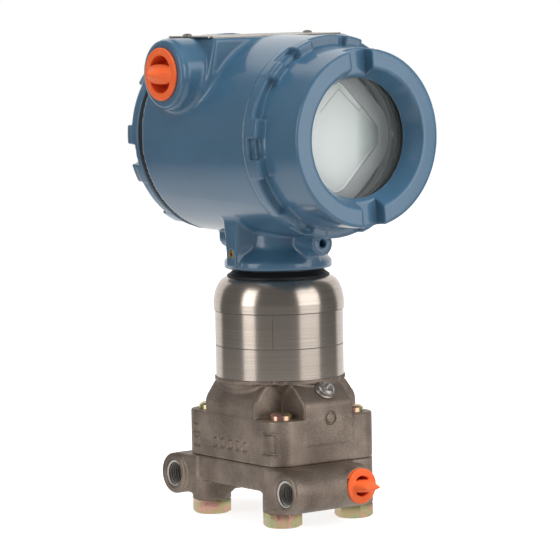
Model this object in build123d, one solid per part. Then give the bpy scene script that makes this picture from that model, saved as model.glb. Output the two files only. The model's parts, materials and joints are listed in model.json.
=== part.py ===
from build123d import *
import math
import os

# A differential pressure transmitter of the flat-flange kind, in millimetres.
# A cast steel flange and module base carry a brushed steel sensor can. A painted cast
# housing with two screw-on covers turns on the can's neck. +Z is up, the front cover
# faces -Y, and the part stands on the heads of its four flange bolts.

# Clearances and small allowances that many pieces share
thread_clearance = 0.05
running_clearance = 0.05
turning_gap = 0.1
bolt_hole_clearance = 0.3
overlap = 1.0

# Heights up the stack
bolt_head_height = 7.0
boss_drop = 10.6
plate_thickness = 12.6
ledge_height = 22.8
arm_wall_height = 7.0
arm_slope_rise = 8.6
neck_ring_height = 2.3
can_height = 33.0
dome_height = 16.4
seal_height = 4.15

# Bolts through the flange
bolt_radius = 5.55
bolt_head_flats = 16.9
bolt_head_turn = 13.0
bolt_head_edge = 0.4
bolt_head_crown = 1.2
bolt_head_crown_run = 2.0
bolt_stand_out = 3.0
bolt_tip_height = 1.1
bolt_tip_run = 1.3
bolt_inset_x = 9.35
bolt_inset_y = 10.15
bolt_boss_wall = 4.15

# Flange and module base castings
block_x = 63.0
block_y = 79.6
block_corner = 9.7
web_run = 17.0
bolt_notch_x = 7.15
bolt_notch_y = 8.45
arm_slope_run = 9.0
base_floor = 5.0
base_cavity_radius = 22.0

# Raised foundry pads on the base, and the round earth pad in front
pad_stand_out = 0.5
front_pad_y = -31.0
front_pad_low = 6.3
front_pad_width = 9.0
front_pad_height = 10.6
back_pad_y = 29.2
back_pad_low = 5.0
back_pad_pitch = 6.0
back_pad_side = 5.0
earth_pad_x = 0.7
earth_pad_rise = 22.2
earth_pad_radius = 3.5

# Port bars along the flange's front and back
bar_stand_out = 6.9
bar_drop = 11.2
bar_wall = 3.7
bar_left_overhang = 2.5
bar_right = 20.0
bar_edge = 1.6
bar_top_drop = 0.7
port_thread_radius = 6.6
port_mouth = 0.9
vent_depth = 14.0
port_x = 6.0
port_drop = 10.2
port_boss_stand_out = 10.5
port_face_step = 2.9
port_face_depth = 2.7
port_rim_wall = 1.1
port_depth = 16.0
passage_radius = 2.5
passage_drop = 7.6

# Isolators and sensor
isolator_offset = 17.5
isolator_radius = 13.0
isolator_recess = 1.0
isolator_waves = 6
diaphragm_thickness = 0.4
o_ring_section = 1.5
o_ring_width = 2.4
o_ring_land = 1.0
tube_radius = 0.8
tube_bend = 1.4
tube_knee_drop = 6.0
tube_knee_rise = 3.0
tube_inner_offset = 7.0
cell_radius = 14.0
cell_height = 16.0
cell_lift = 14.0
cell_seam = 0.8
cell_edge = 2.0

# Sensor can, dome, board and neck
can_radius = 32.0
can_wall = 2.0
neck_ring_stand_out = 1.0
skirt_inset = 2.0
dome_overhang = 0.64
dome_wall = 2.2
dome_step = 4.1
dome_lean = 1.24
dome_round = 1.2
dome_top_inset = 7.2
carrier_clearance = 0.2
carrier_wall = 3.0
carrier_height = 22.0
board_thickness = 1.6
module_board_clearance = 0.6
module_chip_side = 12.0
module_chip_height = 1.8
module_chip_x = 8.0
module_part_length = 8.0
module_part_width = 6.0
module_part_height = 1.5
module_part_offset = 8.0
spigot_radius = 13.5
spigot_wall = 3.0
spigot_rise = 17.0
spigot_flange_radius = 18.0
spigot_flange_thickness = 3.0
seal_foot_radius = 25.6
seal_top_radius = 22.4
seal_lip = 0.83
seal_waist = 1.87
connector_pins = 8
connector_height = 6.0
connector_drop = 9.0
pin_circle_radius = 6.3
pin_radius = 0.6
pin_length = 2.5

# Ground screw on the base's front slope
ground_screw_x = 1.0
ground_screw_down_slope = 5.25
ground_head_radius = 4.3
ground_head_height = 2.6
ground_head_edge = 0.9
ground_cross_length = 5.0
ground_cross_width = 1.0
ground_cross_depth = 1.2
ground_shank_radius = 2.0
ground_shank_length = 8.0
ground_washer_radius = 5.1
ground_washer_thickness = 1.3

# Threads between the housing and its covers, and the walls round them
cover_thread_radius = 44.0
cover_thread_depth = 14.0
barrel_front_wall = 5.0
barrel_back_wall = 6.0
front_room_step = 4.0
back_room_step = 2.5
o_ring_groove = 2.0
o_ring_squeeze = 0.1

# Housing casting
barrel_front = 39.5
barrel_back = 45.1
partition_front = -4.0
partition_back = 1.0
neck_height = 16.05
neck_flange_overhang = 1.2
neck_flange_thickness = 4.0
neck_flange_edge = 0.8
neck_cone_height = 5.5
neck_cone_radius = 19.5
neck_cone_foot = 2.0
neck_radius = 18.0
neck_roof = 2.0
rib_reach = 29.0
rib_half_width = 6.3
rib_foot_half_width = 4.2
rib_foot_rise = 6.5
rib_shoulder_rise = 9.0
rib_top_rise = 14.0
boss_bar_x = 2.0
boss_bar_rise = 13.4
boss_bar_radius = 5.3
boss_bar_front = 34.5
boss_bar_back = 44.9
boss_bar_hole_radius = 2.0
boss_bar_hole_depth = 12.0
bar_web_half_width = 4.0
bar_web_reach = 31.0
bar_web_foot = 24.0
wire_hole_radius = 5.0
wire_hole_y = -9.6
wire_hole_top = 3.0
set_screw_radius = 2.1
set_screw_rise = 8.2
set_screw_length = 9.0
set_screw_socket = 1.0
set_screw_socket_depth = 2.0

# Conduit entries and the tag pad between them
conduit_y = 15.5
conduit_drop = 17.3
conduit_stand_out = 7.0
conduit_bore_radius = 10.65
conduit_boss_wall = 6.1
conduit_boss_show = 3.0
conduit_edge = 1.3
pad_face_step = 0.65
pad_flare = 4.1
pad_inset = 10.0
pad_set_down = 1.3
pad_end_slope = 12.0
tag_overhang = 1.0
tag_margin = 3.0
tag_thickness = 0.8
tag_corner = 2.5
tag_screw_inset = 3.7
tag_screw_y = 21.5
tag_screw_radius = 0.95
tag_screw_length = 4.0
tag_head_radius = 2.4
tag_head_height = 1.4
tag_head_edge = 0.5
tag_head_round = 0.6
tag_hole_radius = 1.0
tag_plate_hole_radius = 1.2
tag_hole_depth = 5.0

# Threaded covers, measured forward from the joint face of each
rim_stand_out = 5.5
rim_height = 6.9
lug_height = 3.6
notch_depth = 2.9
notch_wall = 2.6
lug_clusters = 6
lug_angle = 11.5
notch_angle = 12.0
front_lug_turn = 4.5
back_lug_turn = -11.25
step_stand_out = 0.4
nose_draft = 1.4
nose_chamfer = 1.0
front_cover_length = 34.5
window_cone_depth = 9.0
window_cone_run = 5.0
window_land = 1.0
slot_turn = 94.5
slot_width = 12.7
slot_depth = 6.7
slot_inset = 4.0
slot_cut = 24.0
skirt_length = 12.0
skirt_wall = 4.5
bore_shoulder_low = 2.0
bore_shoulder_high = 6.0
glass_step = 3.0
glass_land = 7.5
glass_thickness = 8.0
glass_fit = 0.1
gasket_thickness = 1.0
retainer_thread = 1.2
retainer_wall = 5.15
retainer_thickness = 3.5
retainer_notch_length = 4.0
retainer_notch_width = 3.0
retainer_notch_depth = 1.5
window_air_gap = 1.5
back_cover_gap = 3.8
back_cover_length = 9.5
back_cover_wall = 5.0
back_cover_edge = 1.2
back_dish_rim = 10.4
back_dish_depth = 1.5
back_slot_depth = 3.5
back_slot_inset = 2.0
back_slot_cut = 16.0
rear_ring_inset = 0.4
rear_ring_edge = 0.8
rear_ring_edge_height = 1.08

# Electronics in the front room
board_margin = 3.0
post_length = 10.0
post_radius = 2.75
post_inset = 7.0
posts_on_board = 4
chip_length = 14.0
chip_width = 12.0
chip_height = 2.5
chip_x = 14.0
chip_y = 12.0
capacitor_radius = 5.0
capacitor_height = 9.0
carrier_gap = 3.0
cup_wall = 2.2
cup_floor = 2.5
meter_inset = 1.5
meter_length = 9.0
meter_edge = 1.2
meter_square = 42.0
meter_square_length = 5.0
meter_corner = 5.0
panel_square = 37.0
panel_thickness = 1.5
panel_corner = 5.0
lens_square = 40.0
lens_thickness = 3.0
lens_bevel = 2.0
meter_screw_inset = 5.0
meter_screw_radius = 3.2
meter_screw_head = 2.2
meter_screw_slot_length = 5.0
meter_screw_slot_width = 0.9
meter_screw_slot_depth = 1.0
meter_shank_radius = 1.4
meter_shank_length = 5.0
meter_hole_clearance = 0.1

# Terminals in the back room
terminal_gap = 5.5
terminal_plate_thickness = 4.0
terminal_block_x = 46.0
terminal_block_z = 26.0
terminal_block_height = 12.0
terminal_rise = 12.0
terminal_pitch = 13.0
terminal_bay_width = 10.0
terminal_bay_depth = 3.0
terminal_screws_in_row = 3
terminal_screw_radius = 3.4
terminal_head_height = 2.6
terminal_slot_length = 5.2
terminal_slot_width = 0.9
terminal_slot_depth = 1.0
terminal_washer_side = 8.0
terminal_washer_thickness = 1.2
terminal_shank_radius = 1.55
terminal_shank_length = 5.0
feedthrough_radius = 6.0
feedthrough_fit = 0.02
feedthrough_flange = 1.5
feedthrough_flange_thickness = 2.0
feedthrough_pin_offset = 2.4
feedthrough_pin_radius = 0.7
feedthrough_pin_length = 4.5

# Push-in plugs with a finger tab
plug_lip_conduit = 2.75
plug_lip_process = 2.05
plug_flange = 3.0
conduit_plug_length = 15.0
conduit_plug_tab = 3.8
conduit_tab_ridge = 5.8
conduit_tab_turn = 25.0
process_plug_length = 12.0
process_plug_tab = 8.5
process_tab_ridge = 3.9
process_tab_turn = 4.0
plug_clearance = 0.35
plug_gap = 0.1
plug_taper = 0.5
plug_wall = 1.3
plug_pocket_depth = 8.0
plug_edge = 0.5
plug_groove_depth = 0.9
plug_groove_low = 1.14
plug_groove_width = 0.66

tab_shoulder_drop = 1.3
tab_shoulder_run = 0.6
tab_ridge_thickness = 0.35

# Finger tab's half thickness at its root and at the flange's face: shares of the pocket's radius
tab_root_thickness = 0.6
tab_face_thickness = 0.4

# Radii and places that follow from the cover threads
barrel_front_radius = cover_thread_radius + barrel_front_wall
barrel_back_radius = cover_thread_radius + barrel_back_wall
front_room_radius = cover_thread_radius - front_room_step
back_room_radius = cover_thread_radius - back_room_step
housing_rise = neck_height + barrel_back_radius
rim_radius = cover_thread_radius + rim_stand_out
step_radius = cover_thread_radius + step_stand_out
nose_radius = step_radius - nose_draft
skirt_bore = cover_thread_radius - skirt_wall
glass_radius = skirt_bore - glass_step
window_radius = glass_radius - glass_land
ring_inner_radius = window_radius + window_cone_run
back_dish_radius = step_radius - back_dish_rim
board_radius = front_room_radius - board_margin
post_offset = board_radius - post_inset
carrier_radius = skirt_bore - carrier_gap
meter_radius = carrier_radius - meter_inset
meter_screw_offset = meter_radius - meter_screw_inset
terminal_plate_radius = skirt_bore - terminal_gap

# The window's stack in the front cover, and the meter that stands behind it
glass_seat = front_cover_length - window_cone_depth - window_land
glass_low = glass_seat - gasket_thickness - glass_thickness
retainer_low = glass_low - retainer_thickness
board_y = partition_front - post_length
lens_front = barrel_front + retainer_low - window_air_gap
carrier_front = -lens_front + lens_thickness + meter_square_length + meter_length

# Conduit bosses and tag pad on the barrel
conduit_boss_radius = conduit_bore_radius + conduit_boss_wall
conduit_plug_radius = conduit_bore_radius + plug_lip_conduit
pad_face_radius = conduit_boss_radius + pad_face_step
pad_radius = pad_face_radius + pad_flare
pad_near = barrel_back_radius - pad_inset
conduit_reach = barrel_back_radius + conduit_stand_out
pad_far = conduit_reach - conduit_boss_show
pad_top_rise = barrel_back_radius - pad_set_down
conduit_rise = pad_top_rise - conduit_drop
tag_length = 2 * (pad_near + tag_overhang)
tag_width = 2 * (pad_radius - tag_margin)
tag_screw_x = tag_length / 2 - tag_screw_inset

# Flange, base and can
bolt_spacing_x = block_x - 2 * bolt_inset_x
bolt_spacing_y = block_y - 2 * bolt_inset_y
bolt_boss_radius = bolt_radius + bolt_boss_wall
arm_x_half_width = bolt_spacing_y / 2 - bolt_notch_y
arm_y_half_width = bolt_spacing_x / 2 - bolt_notch_x
bar_offset_y = block_y / 2 + bar_stand_out
bar_radius = port_thread_radius + bar_wall
bar_left = block_x / 2 + bar_left_overhang
port_face_radius = port_thread_radius + port_face_step
port_boss_radius = port_face_radius + port_rim_wall
port_boss_reach = bar_offset_y + port_boss_stand_out
port_face_reach = port_boss_reach - port_face_depth
process_plug_radius = port_thread_radius + plug_lip_process
dome_radius = can_radius + dome_overhang
neck_ring_radius = can_radius + neck_ring_stand_out
skirt_radius = neck_ring_radius - skirt_inset
neck_flange_radius = seal_foot_radius + neck_flange_overhang

# Heights worked out from the stack
z_boss = bolt_head_height
z_plate = z_boss + boss_drop
z_joint = z_plate + plate_thickness
z_ledge = z_joint + ledge_height
z_neck_ring = z_ledge + arm_wall_height + arm_slope_rise
z_can = z_neck_ring + neck_ring_height
z_dome = z_can + can_height
z_seal = z_dome + dome_height
z_housing = z_seal + seal_height + turning_gap
z_axis = z_housing + housing_rise
z_bar = z_joint - bar_drop
z_port = z_joint - port_drop
z_passage = z_joint - passage_drop
z_pad_top = z_axis + pad_top_rise
z_conduit = z_axis + conduit_rise
z_cell = z_joint + base_floor + cell_lift
z_board = z_can + carrier_height
z_spigot_top = z_housing + spigot_rise

bolt_places = [
    (sx * bolt_spacing_x / 2, sy * bolt_spacing_y / 2) for sx in (-1, 1) for sy in (-1, 1)
]

# Slope at the end of each base arm
slope_angle = math.degrees(math.atan2(arm_slope_rise, arm_slope_run))
slope_length = math.hypot(arm_slope_rise, arm_slope_run)

# The frame's origin is under the middle of the part's length
process_plug_reach = port_face_reach + plug_gap + plug_flange + process_plug_tab
front_reach = max(barrel_front + front_cover_length, process_plug_reach)
back_reach = max(barrel_back + back_cover_gap + back_cover_length, process_plug_reach)
FRAME = Pos(0, (front_reach - back_reach) / 2, 0)

LOW = (Align.CENTER, Align.CENTER, Align.MIN)


def rod(radius, height):
    """Cylinder that stands on its own origin."""
    return Cylinder(radius, height, align=LOW)


def block(x, y, z):
    """Box that stands on its own origin."""
    return Box(x, y, z, align=LOW)


def turned(points):
    """Solid of revolution about Z from a closed outline of (radius, height) points."""
    outline = make_face(Polyline(*[(r, 0, h) for r, h in points], close=True))
    return revolve(outline, Axis.Z)


def ring(outer, inner, height):
    """Flat ring that stands on its own origin."""
    return rod(outer, height) - rod(inner, height)


def prism(points, length, plane):
    """Closed outline pushed half its length each way from the middle of a plane."""
    outline = plane * make_face(Polyline(*points, close=True))
    return extrude(outline, length / 2, both=True)


def facing(direction, x, y, z):
    """Place for a piece whose own +Z points along the named direction."""
    turns = {
        "-Y": Rot(90, 0, 0),
        "+Y": Rot(-90, 0, 0),
        "+X": Rot(0, 90, 0),
        "-X": Rot(0, -90, 0),
    }
    return Pos(x, y, z) * turns[direction]


def joined(pieces):
    """One node of several separate solids."""
    return Compound([solid for piece in pieces for solid in piece.solids()])


def coplanar_flange():
    """Cast flange: plate, bolt bosses with webs, and a port bar along each long side."""
    body = Pos(0, 0, z_plate) * extrude(
        RectangleRounded(block_x, block_y, block_corner), plate_thickness
    )
    for x, y in bolt_places:
        side = math.copysign(1, x)
        body += Pos(x, y, z_boss) * rod(bolt_boss_radius, boss_drop)
        web = prism(
            [(x, z_boss), (x - side * web_run, z_plate), (x, z_plate)],
            2 * bolt_boss_radius,
            Plane.XZ,
        )
        body += Pos(0, y, 0) * web
    for side in (-1, 1):
        body += port_bar(side)
    for x, y in bolt_places:
        body -= Pos(x, y, 0) * rod(bolt_radius + bolt_hole_clearance, z_joint)
    for side in (-1, 1):
        body -= port_passages(side)
        body -= isolator_seat(side)
    return body


def port_bar(side):
    """Round bar with its web, and the flat boss that a process line screws into."""
    length = bar_left + bar_right
    middle = (bar_right - bar_left) / 2
    bar = Pos(-bar_left, side * bar_offset_y, z_bar) * Rot(0, 90, 0) * rod(bar_radius, length)
    bar = chamfer(bar.edges().filter_by(GeomType.CIRCLE), bar_edge)
    web_top = z_joint - bar_top_drop
    web_low = z_bar - bar_radius + bar_edge
    web_y = bar_offset_y - block_y / 2 + block_corner
    web = Pos(middle, side * (bar_offset_y - web_y / 2), web_low) * block(
        length - 2 * bar_edge, web_y, web_top - web_low
    )
    direction = "+Y" if side > 0 else "-Y"
    boss_start = bar_offset_y - bar_radius / 2
    boss = facing(direction, port_x, side * boss_start, z_port) * rod(
        port_boss_radius, port_boss_reach - boss_start
    )
    return bar + web + boss


def port_passages(side):
    """Threaded process port and vent port, and the drillings that join them."""
    direction = "+Y" if side > 0 else "-Y"
    port_start = port_face_reach - port_depth
    port = facing(direction, port_x, side * port_start, z_port) * rod(
        port_thread_radius, port_depth
    )
    port += facing(direction, port_x, side * port_face_reach, z_port) * rod(
        port_face_radius, port_face_depth
    )
    vent_start = bar_left - vent_depth
    vent = facing("-X", -vent_start, side * bar_offset_y, z_bar) * rod(
        port_thread_radius, vent_depth
    )
    mouth = facing("-X", -bar_left + port_mouth, side * bar_offset_y, z_bar) * Cone(
        port_thread_radius, port_thread_radius + port_mouth, port_mouth, align=LOW
    )
    cross = facing("+X", -vent_start, side * bar_offset_y, z_bar) * rod(
        passage_radius, vent_start + port_x
    )
    run = facing(direction, port_x, side * isolator_offset, z_passage) * rod(
        passage_radius, port_start - isolator_offset
    )
    rise = Pos(port_x, side * isolator_offset, z_passage) * rod(
        passage_radius, z_joint - z_passage
    )
    return port + vent + mouth + cross + run + rise


def seal_ring():
    """Flat-sided ring with a wall of its own width, a narrow land outside the isolator."""
    inner = isolator_radius + o_ring_land
    return ring(inner + o_ring_width, inner, o_ring_section)


def isolator_seat(side):
    """Shallow pocket under a diaphragm, with the groove of its O-ring round it."""
    pocket = Pos(0, side * isolator_offset, z_joint - isolator_recess) * rod(
        isolator_radius, isolator_recess
    )
    return pocket + Pos(0, side * isolator_offset, z_joint - o_ring_section) * seal_ring()


def process_o_rings():
    """O-rings pressed between flange and base, one round each isolator."""
    return joined(
        [
            Pos(0, side * isolator_offset, z_joint - o_ring_section) * seal_ring()
            for side in (-1, 1)
        ]
    )


def flange_bolts():
    """Four hexagon bolts that clamp the flange and show their ends above the ledges."""
    shank_length = z_ledge + bolt_stand_out - z_boss
    flat = bolt_head_flats / 2
    head = extrude(RegularPolygon(flat, 6, major_radius=False), bolt_head_height)
    crown = turned(
        [
            (0, 0),
            (flat - bolt_head_edge, 0),
            (flat - bolt_head_edge + bolt_head_crown_run, bolt_head_crown),
            (flat - bolt_head_edge + bolt_head_crown_run, bolt_head_height),
            (0, bolt_head_height),
        ]
    )
    shank = turned(
        [
            (0, 0),
            (bolt_radius, 0),
            (bolt_radius, shank_length - bolt_tip_height),
            (bolt_radius - bolt_tip_run, shank_length),
            (0, shank_length),
        ]
    )
    bolt = (Rot(0, 0, bolt_head_turn) * head & crown) + Pos(0, 0, z_boss) * shank
    return joined([Pos(x, y, 0) * bolt for x, y in bolt_places])


def module_base():
    """Cast base: a block with four notched corners and sloped arms up to the neck ring."""
    half_x = block_x / 2
    half_y = block_y / 2
    low = z_ledge - overlap
    wall_top = z_ledge + arm_wall_height
    body = Pos(0, 0, z_joint) * extrude(
        RectangleRounded(block_x, block_y, block_corner), ledge_height
    )

    def arm(half):
        slope_end = half - arm_slope_run
        return [
            (-half, low),
            (-half, wall_top),
            (-slope_end, z_neck_ring),
            (slope_end, z_neck_ring),
            (half, wall_top),
            (half, low),
        ]

    body += prism(arm(half_x), 2 * arm_x_half_width, Plane.XZ)
    body += prism(arm(half_y), 2 * arm_y_half_width, Plane.YZ)
    corner_reach = math.hypot(arm_x_half_width, arm_y_half_width) - overlap
    body += turned(
        [
            (0, low),
            (corner_reach, low),
            (corner_reach, wall_top),
            (skirt_radius, z_neck_ring),
            (neck_ring_radius, z_neck_ring),
            (neck_ring_radius, z_can),
            (0, z_can),
        ]
    )
    body += cast_pads()
    cavity_low = z_joint + base_floor
    body -= Pos(0, 0, cavity_low) * rod(base_cavity_radius, z_can - cavity_low)
    for x, y in bolt_places:
        body -= Pos(x, y, z_joint) * rod(bolt_radius + thread_clearance, z_can - z_joint)
    for side in (-1, 1):
        seat = Pos(0, side * isolator_offset, z_joint)
        body -= seat * rod(isolator_radius, isolator_recess)
        body -= seat * rod(tube_radius, base_floor)
    body -= ground_screw_place() * Pos(0, 0, -ground_shank_length) * rod(
        ground_shank_radius, 2 * ground_shank_length
    )
    body -= ground_screw_place() * rod(
        ground_washer_radius + bolt_hole_clearance, ground_shank_length
    )
    return body


def cast_pads():
    """Raised foundry pads low on the base's left side, and the round one in front."""
    depth = 2 * pad_stand_out
    pads = Pos(-block_x / 2, front_pad_y, z_joint + front_pad_low) * block(
        depth, front_pad_width, front_pad_height
    )
    for i in range(2):
        pads += Pos(-block_x / 2, back_pad_y, z_joint + back_pad_low + i * back_pad_pitch) * block(
            depth, back_pad_side, back_pad_side
        )
    face = facing("-Y", earth_pad_x, -block_y / 2, z_joint + earth_pad_rise)
    return pads + face * rod(earth_pad_radius, pad_stand_out)


def ground_screw_place():
    """Place on the front arm's slope, with +Z square to the slope."""
    run = slope_length - ground_screw_down_slope
    y = -block_y / 2 + run * math.cos(math.radians(slope_angle))
    z = z_ledge + arm_wall_height + run * math.sin(math.radians(slope_angle))
    return Pos(ground_screw_x, y, z) * Rot(slope_angle, 0, 0)


def isolator_diaphragms():
    """Two thin corrugated discs welded under the base, facing the process fluid."""
    wave = isolator_radius / isolator_waves
    crest = diaphragm_thickness / 2
    under = [(wave * i, (i % 2) * crest) for i in range(isolator_waves)]
    under.append((isolator_radius, 0))
    over = [(r, h + diaphragm_thickness) for r, h in reversed(under)]
    disc = turned(under + over)
    height = z_joint + isolator_recess - diaphragm_thickness - crest
    return joined([Pos(0, side * isolator_offset, height) * disc for side in (-1, 1)])


def fill_tubes():
    """Two fine oil tubes from the isolators to the sensor cell."""
    low = z_joint + isolator_recess
    knee = z_cell - tube_knee_drop
    tubes = []
    for side in (-1, 1):
        path = FilletPolyline(
            (0, side * isolator_offset, low),
            (0, side * isolator_offset, knee),
            (0, side * tube_inner_offset, knee + tube_knee_rise),
            (0, side * tube_inner_offset, z_cell),
            radius=tube_bend,
        )
        start = Plane(origin=(0, side * isolator_offset, low), z_dir=(0, 0, 1))
        tubes.append(sweep(start * Circle(tube_radius), path=path))
    return joined(tubes)


def sensor_cell():
    """Welded differential cell: two cups with a seam bead round the middle."""
    half = cell_height / 2
    return Pos(0, 0, z_cell) * turned(
        [
            (0, 0),
            (cell_radius - cell_edge, 0),
            (cell_radius, cell_edge),
            (cell_radius, half - cell_seam),
            (cell_radius + cell_seam, half),
            (cell_radius, half + cell_seam),
            (cell_radius, cell_height - cell_edge),
            (cell_radius - cell_edge, cell_height),
            (0, cell_height),
        ]
    )


def sensor_can():
    """Brushed steel tube of the sensor module."""
    return Pos(0, 0, z_can) * ring(can_radius, can_radius - can_wall, can_height)


def dome_side(foot_radius, top_radius, top):
    """Edges of the dome's side: a straight step, then one curve that leans in to the top."""
    knee = (foot_radius, 0, dome_step)
    lean = (foot_radius - dome_lean, 0, top - dome_round)
    return Line((foot_radius, 0, 0), knee) + Bezier(knee, lean, (top_radius, 0, top))


def dome_cap():
    """Spun steel cap: a short step over the can, then a rounded shoulder."""
    top_radius = dome_radius - dome_top_inset
    inner_foot = can_radius - can_wall
    under = dome_height - dome_wall
    outline = dome_side(dome_radius, top_radius, dome_height)
    outline += dome_side(inner_foot, top_radius - dome_wall, under)
    outline += Line((inner_foot, 0, 0), (dome_radius, 0, 0))
    outline += Polyline(
        (top_radius, 0, dome_height),
        (spigot_radius, 0, dome_height),
        (spigot_radius, 0, under),
        (top_radius - dome_wall, 0, under),
    )
    return Pos(0, 0, z_dome) * revolve(make_face(outline), Axis.Z)


def board_carrier():
    """Moulded collar inside the can that the module board sits on."""
    radius = can_radius - can_wall - carrier_clearance
    return Pos(0, 0, z_can) * ring(radius, radius - carrier_wall, carrier_height)


def module_board():
    """Round circuit board of the sensor module with its converter chip and parts."""
    board = rod(can_radius - can_wall - module_board_clearance, board_thickness)
    board += Pos(module_chip_x, 0, board_thickness) * block(
        module_chip_side, module_chip_side, module_chip_height
    )
    for side in (-1, 1):
        board += Pos(-module_part_offset, side * module_part_offset, board_thickness) * block(
            module_part_length, module_part_width, module_part_height
        )
    return Pos(0, 0, z_board) * board


def module_neck():
    """Steel neck tube that the housing turns on, flanged under the dome."""
    low = z_seal - dome_wall - spigot_flange_thickness
    neck = Pos(0, 0, low) * rod(spigot_radius, z_spigot_top - low)
    neck += Pos(0, 0, low) * rod(spigot_flange_radius, spigot_flange_thickness)
    neck -= Pos(0, 0, low) * rod(spigot_radius - spigot_wall, z_spigot_top - low)
    return neck


def header_connector():
    """Round pin header at the top of the neck, with its pins in a circle."""
    header = rod(spigot_radius - spigot_wall, connector_height)
    for i in range(connector_pins):
        pin = Rot(0, 0, 360 / connector_pins * i) * Pos(pin_circle_radius, 0, connector_height)
        header += pin * rod(pin_radius, pin_length)
    return Pos(0, 0, z_spigot_top - connector_drop) * header


def neck_seal():
    """Black rubber collar between the dome and the turning housing."""
    mid = (seal_foot_radius + seal_top_radius) / 2
    return Pos(0, 0, z_seal) * turned(
        [
            (spigot_radius, 0),
            (seal_foot_radius, 0),
            (seal_foot_radius, seal_lip),
            (mid, seal_waist),
            (seal_top_radius, seal_height - seal_lip),
            (seal_top_radius, seal_height),
            (spigot_radius, seal_height),
        ]
    )


def ground_screw():
    """Pan-head earth screw with a cross recess, square to the slope."""
    head = rod(ground_head_radius, ground_head_height)
    head = chamfer(head.edges().sort_by(Axis.Z)[-1], ground_head_edge)
    cross = block(ground_cross_length, ground_cross_width, ground_cross_depth)
    head -= Pos(0, 0, ground_head_height - ground_cross_depth) * (cross + Rot(0, 0, 90) * cross)
    shank = Pos(0, 0, -ground_shank_length) * rod(
        ground_shank_radius - thread_clearance, ground_shank_length + ground_washer_thickness
    )
    return ground_screw_place() * (Pos(0, 0, ground_washer_thickness) * head + shank)


def ground_washer():
    """Round wire clamp washer under the earth screw's head."""
    cup = ring(ground_washer_radius, ground_shank_radius, ground_washer_thickness)
    return ground_screw_place() * cup


def housing():
    """Painted cast housing: barrel, conduit bosses, tag pad, neck and ribs, hollowed."""
    body = facing("+Y", 0, -barrel_front, z_axis) * turned(
        [
            (0, 0),
            (barrel_front_radius, 0),
            (barrel_back_radius, barrel_front + barrel_back),
            (0, barrel_front + barrel_back),
        ]
    )
    body += tag_pad()
    body += housing_neck()
    body -= Pos(0, conduit_y, z_pad_top) * block(
        2 * barrel_back_radius, 2 * pad_radius, barrel_back_radius
    )
    body -= housing_rooms()
    body -= Pos(0, 0, z_housing) * rod(
        spigot_radius + running_clearance, spigot_rise + turning_gap
    )
    wire_hole_low = z_spigot_top - overlap
    body -= Pos(0, wire_hole_y, wire_hole_low) * rod(
        wire_hole_radius, z_axis - front_room_radius + wire_hole_top - wire_hole_low
    )
    body -= small_housing_holes()
    return body


def pad_outline(radius):
    """Pad section across X: a half circle below and straight sides up to the flat top."""
    top = z_pad_top
    left = (conduit_y - radius, z_conduit)
    right = (conduit_y + radius, z_conduit)
    sides = Polyline(left, (conduit_y - radius, top), (conduit_y + radius, top), right)
    bottom = ThreePointArc(right, (conduit_y, z_conduit - radius), left)
    return make_face(sides + bottom)


def tag_pad():
    """Flat-topped pad across the barrel whose drafted ends carry the conduit bosses."""
    pad = extrude(Plane.YZ * pad_outline(pad_radius), pad_near, both=True)
    for side in (-1, 1):
        near = Plane.YZ.offset(side * pad_near) * pad_outline(pad_radius)
        far = Plane.YZ.offset(side * pad_far) * pad_outline(pad_face_radius)
        end = loft([near, far])
        slope_end = pad_near + conduit_drop * math.tan(math.radians(pad_end_slope))
        keep = [
            (side * (pad_near - overlap), z_pad_top),
            (side * pad_near, z_pad_top),
            (side * slope_end, z_conduit),
            (side * pad_far, z_conduit),
            (side * pad_far, z_pad_top - 4 * pad_radius),
            (side * (pad_near - overlap), z_pad_top - 4 * pad_radius),
        ]
        end &= Pos(0, conduit_y, 0) * prism(keep, 4 * pad_radius, Plane.XZ)
        pad += end
        direction = "+X" if side > 0 else "-X"
        boss = rod(conduit_boss_radius, conduit_reach)
        boss = chamfer(boss.edges().sort_by(Axis.Z)[-1], conduit_edge)
        pad += facing(direction, 0, conduit_y, z_conduit) * boss
    return pad


def housing_neck():
    """Turned neck and flange under the barrel, with side ribs and the long boss bar."""
    rim = neck_flange_thickness
    top = housing_rise - front_room_radius - neck_roof
    neck = Pos(0, 0, z_housing) * turned(
        [
            (0, 0),
            (neck_flange_radius, 0),
            (neck_flange_radius, rim - neck_flange_edge),
            (neck_flange_radius - neck_flange_edge, rim),
            (neck_cone_radius, rim + neck_cone_height),
            (neck_radius, rim + neck_cone_height + neck_cone_foot),
            (neck_radius, top),
            (0, top),
        ]
    )
    foot = z_housing + rim / 2
    barrel_low = z_axis - barrel_front_radius
    rib = [
        (-rib_foot_half_width, foot),
        (-rib_foot_half_width, foot + rib_foot_rise),
        (-rib_half_width, barrel_low + rib_shoulder_rise),
        (-rib_half_width, barrel_low + rib_top_rise),
        (rib_half_width, barrel_low + rib_top_rise),
        (rib_half_width, barrel_low + rib_shoulder_rise),
        (rib_foot_half_width, foot + rib_foot_rise),
        (rib_foot_half_width, foot),
    ]
    neck += prism(rib, 2 * rib_reach, Plane.YZ)
    neck += facing("+Y", boss_bar_x, -boss_bar_front, z_housing + boss_bar_rise) * rod(
        boss_bar_radius, boss_bar_front + boss_bar_back
    )
    bar_height = z_housing + boss_bar_rise
    web = [
        (-bar_web_reach, bar_height),
        (-bar_web_foot, foot),
        (bar_web_foot, foot),
        (bar_web_reach, bar_height),
    ]
    return neck + Pos(boss_bar_x, 0, 0) * prism(web, 2 * bar_web_half_width, Plane.YZ)


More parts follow.
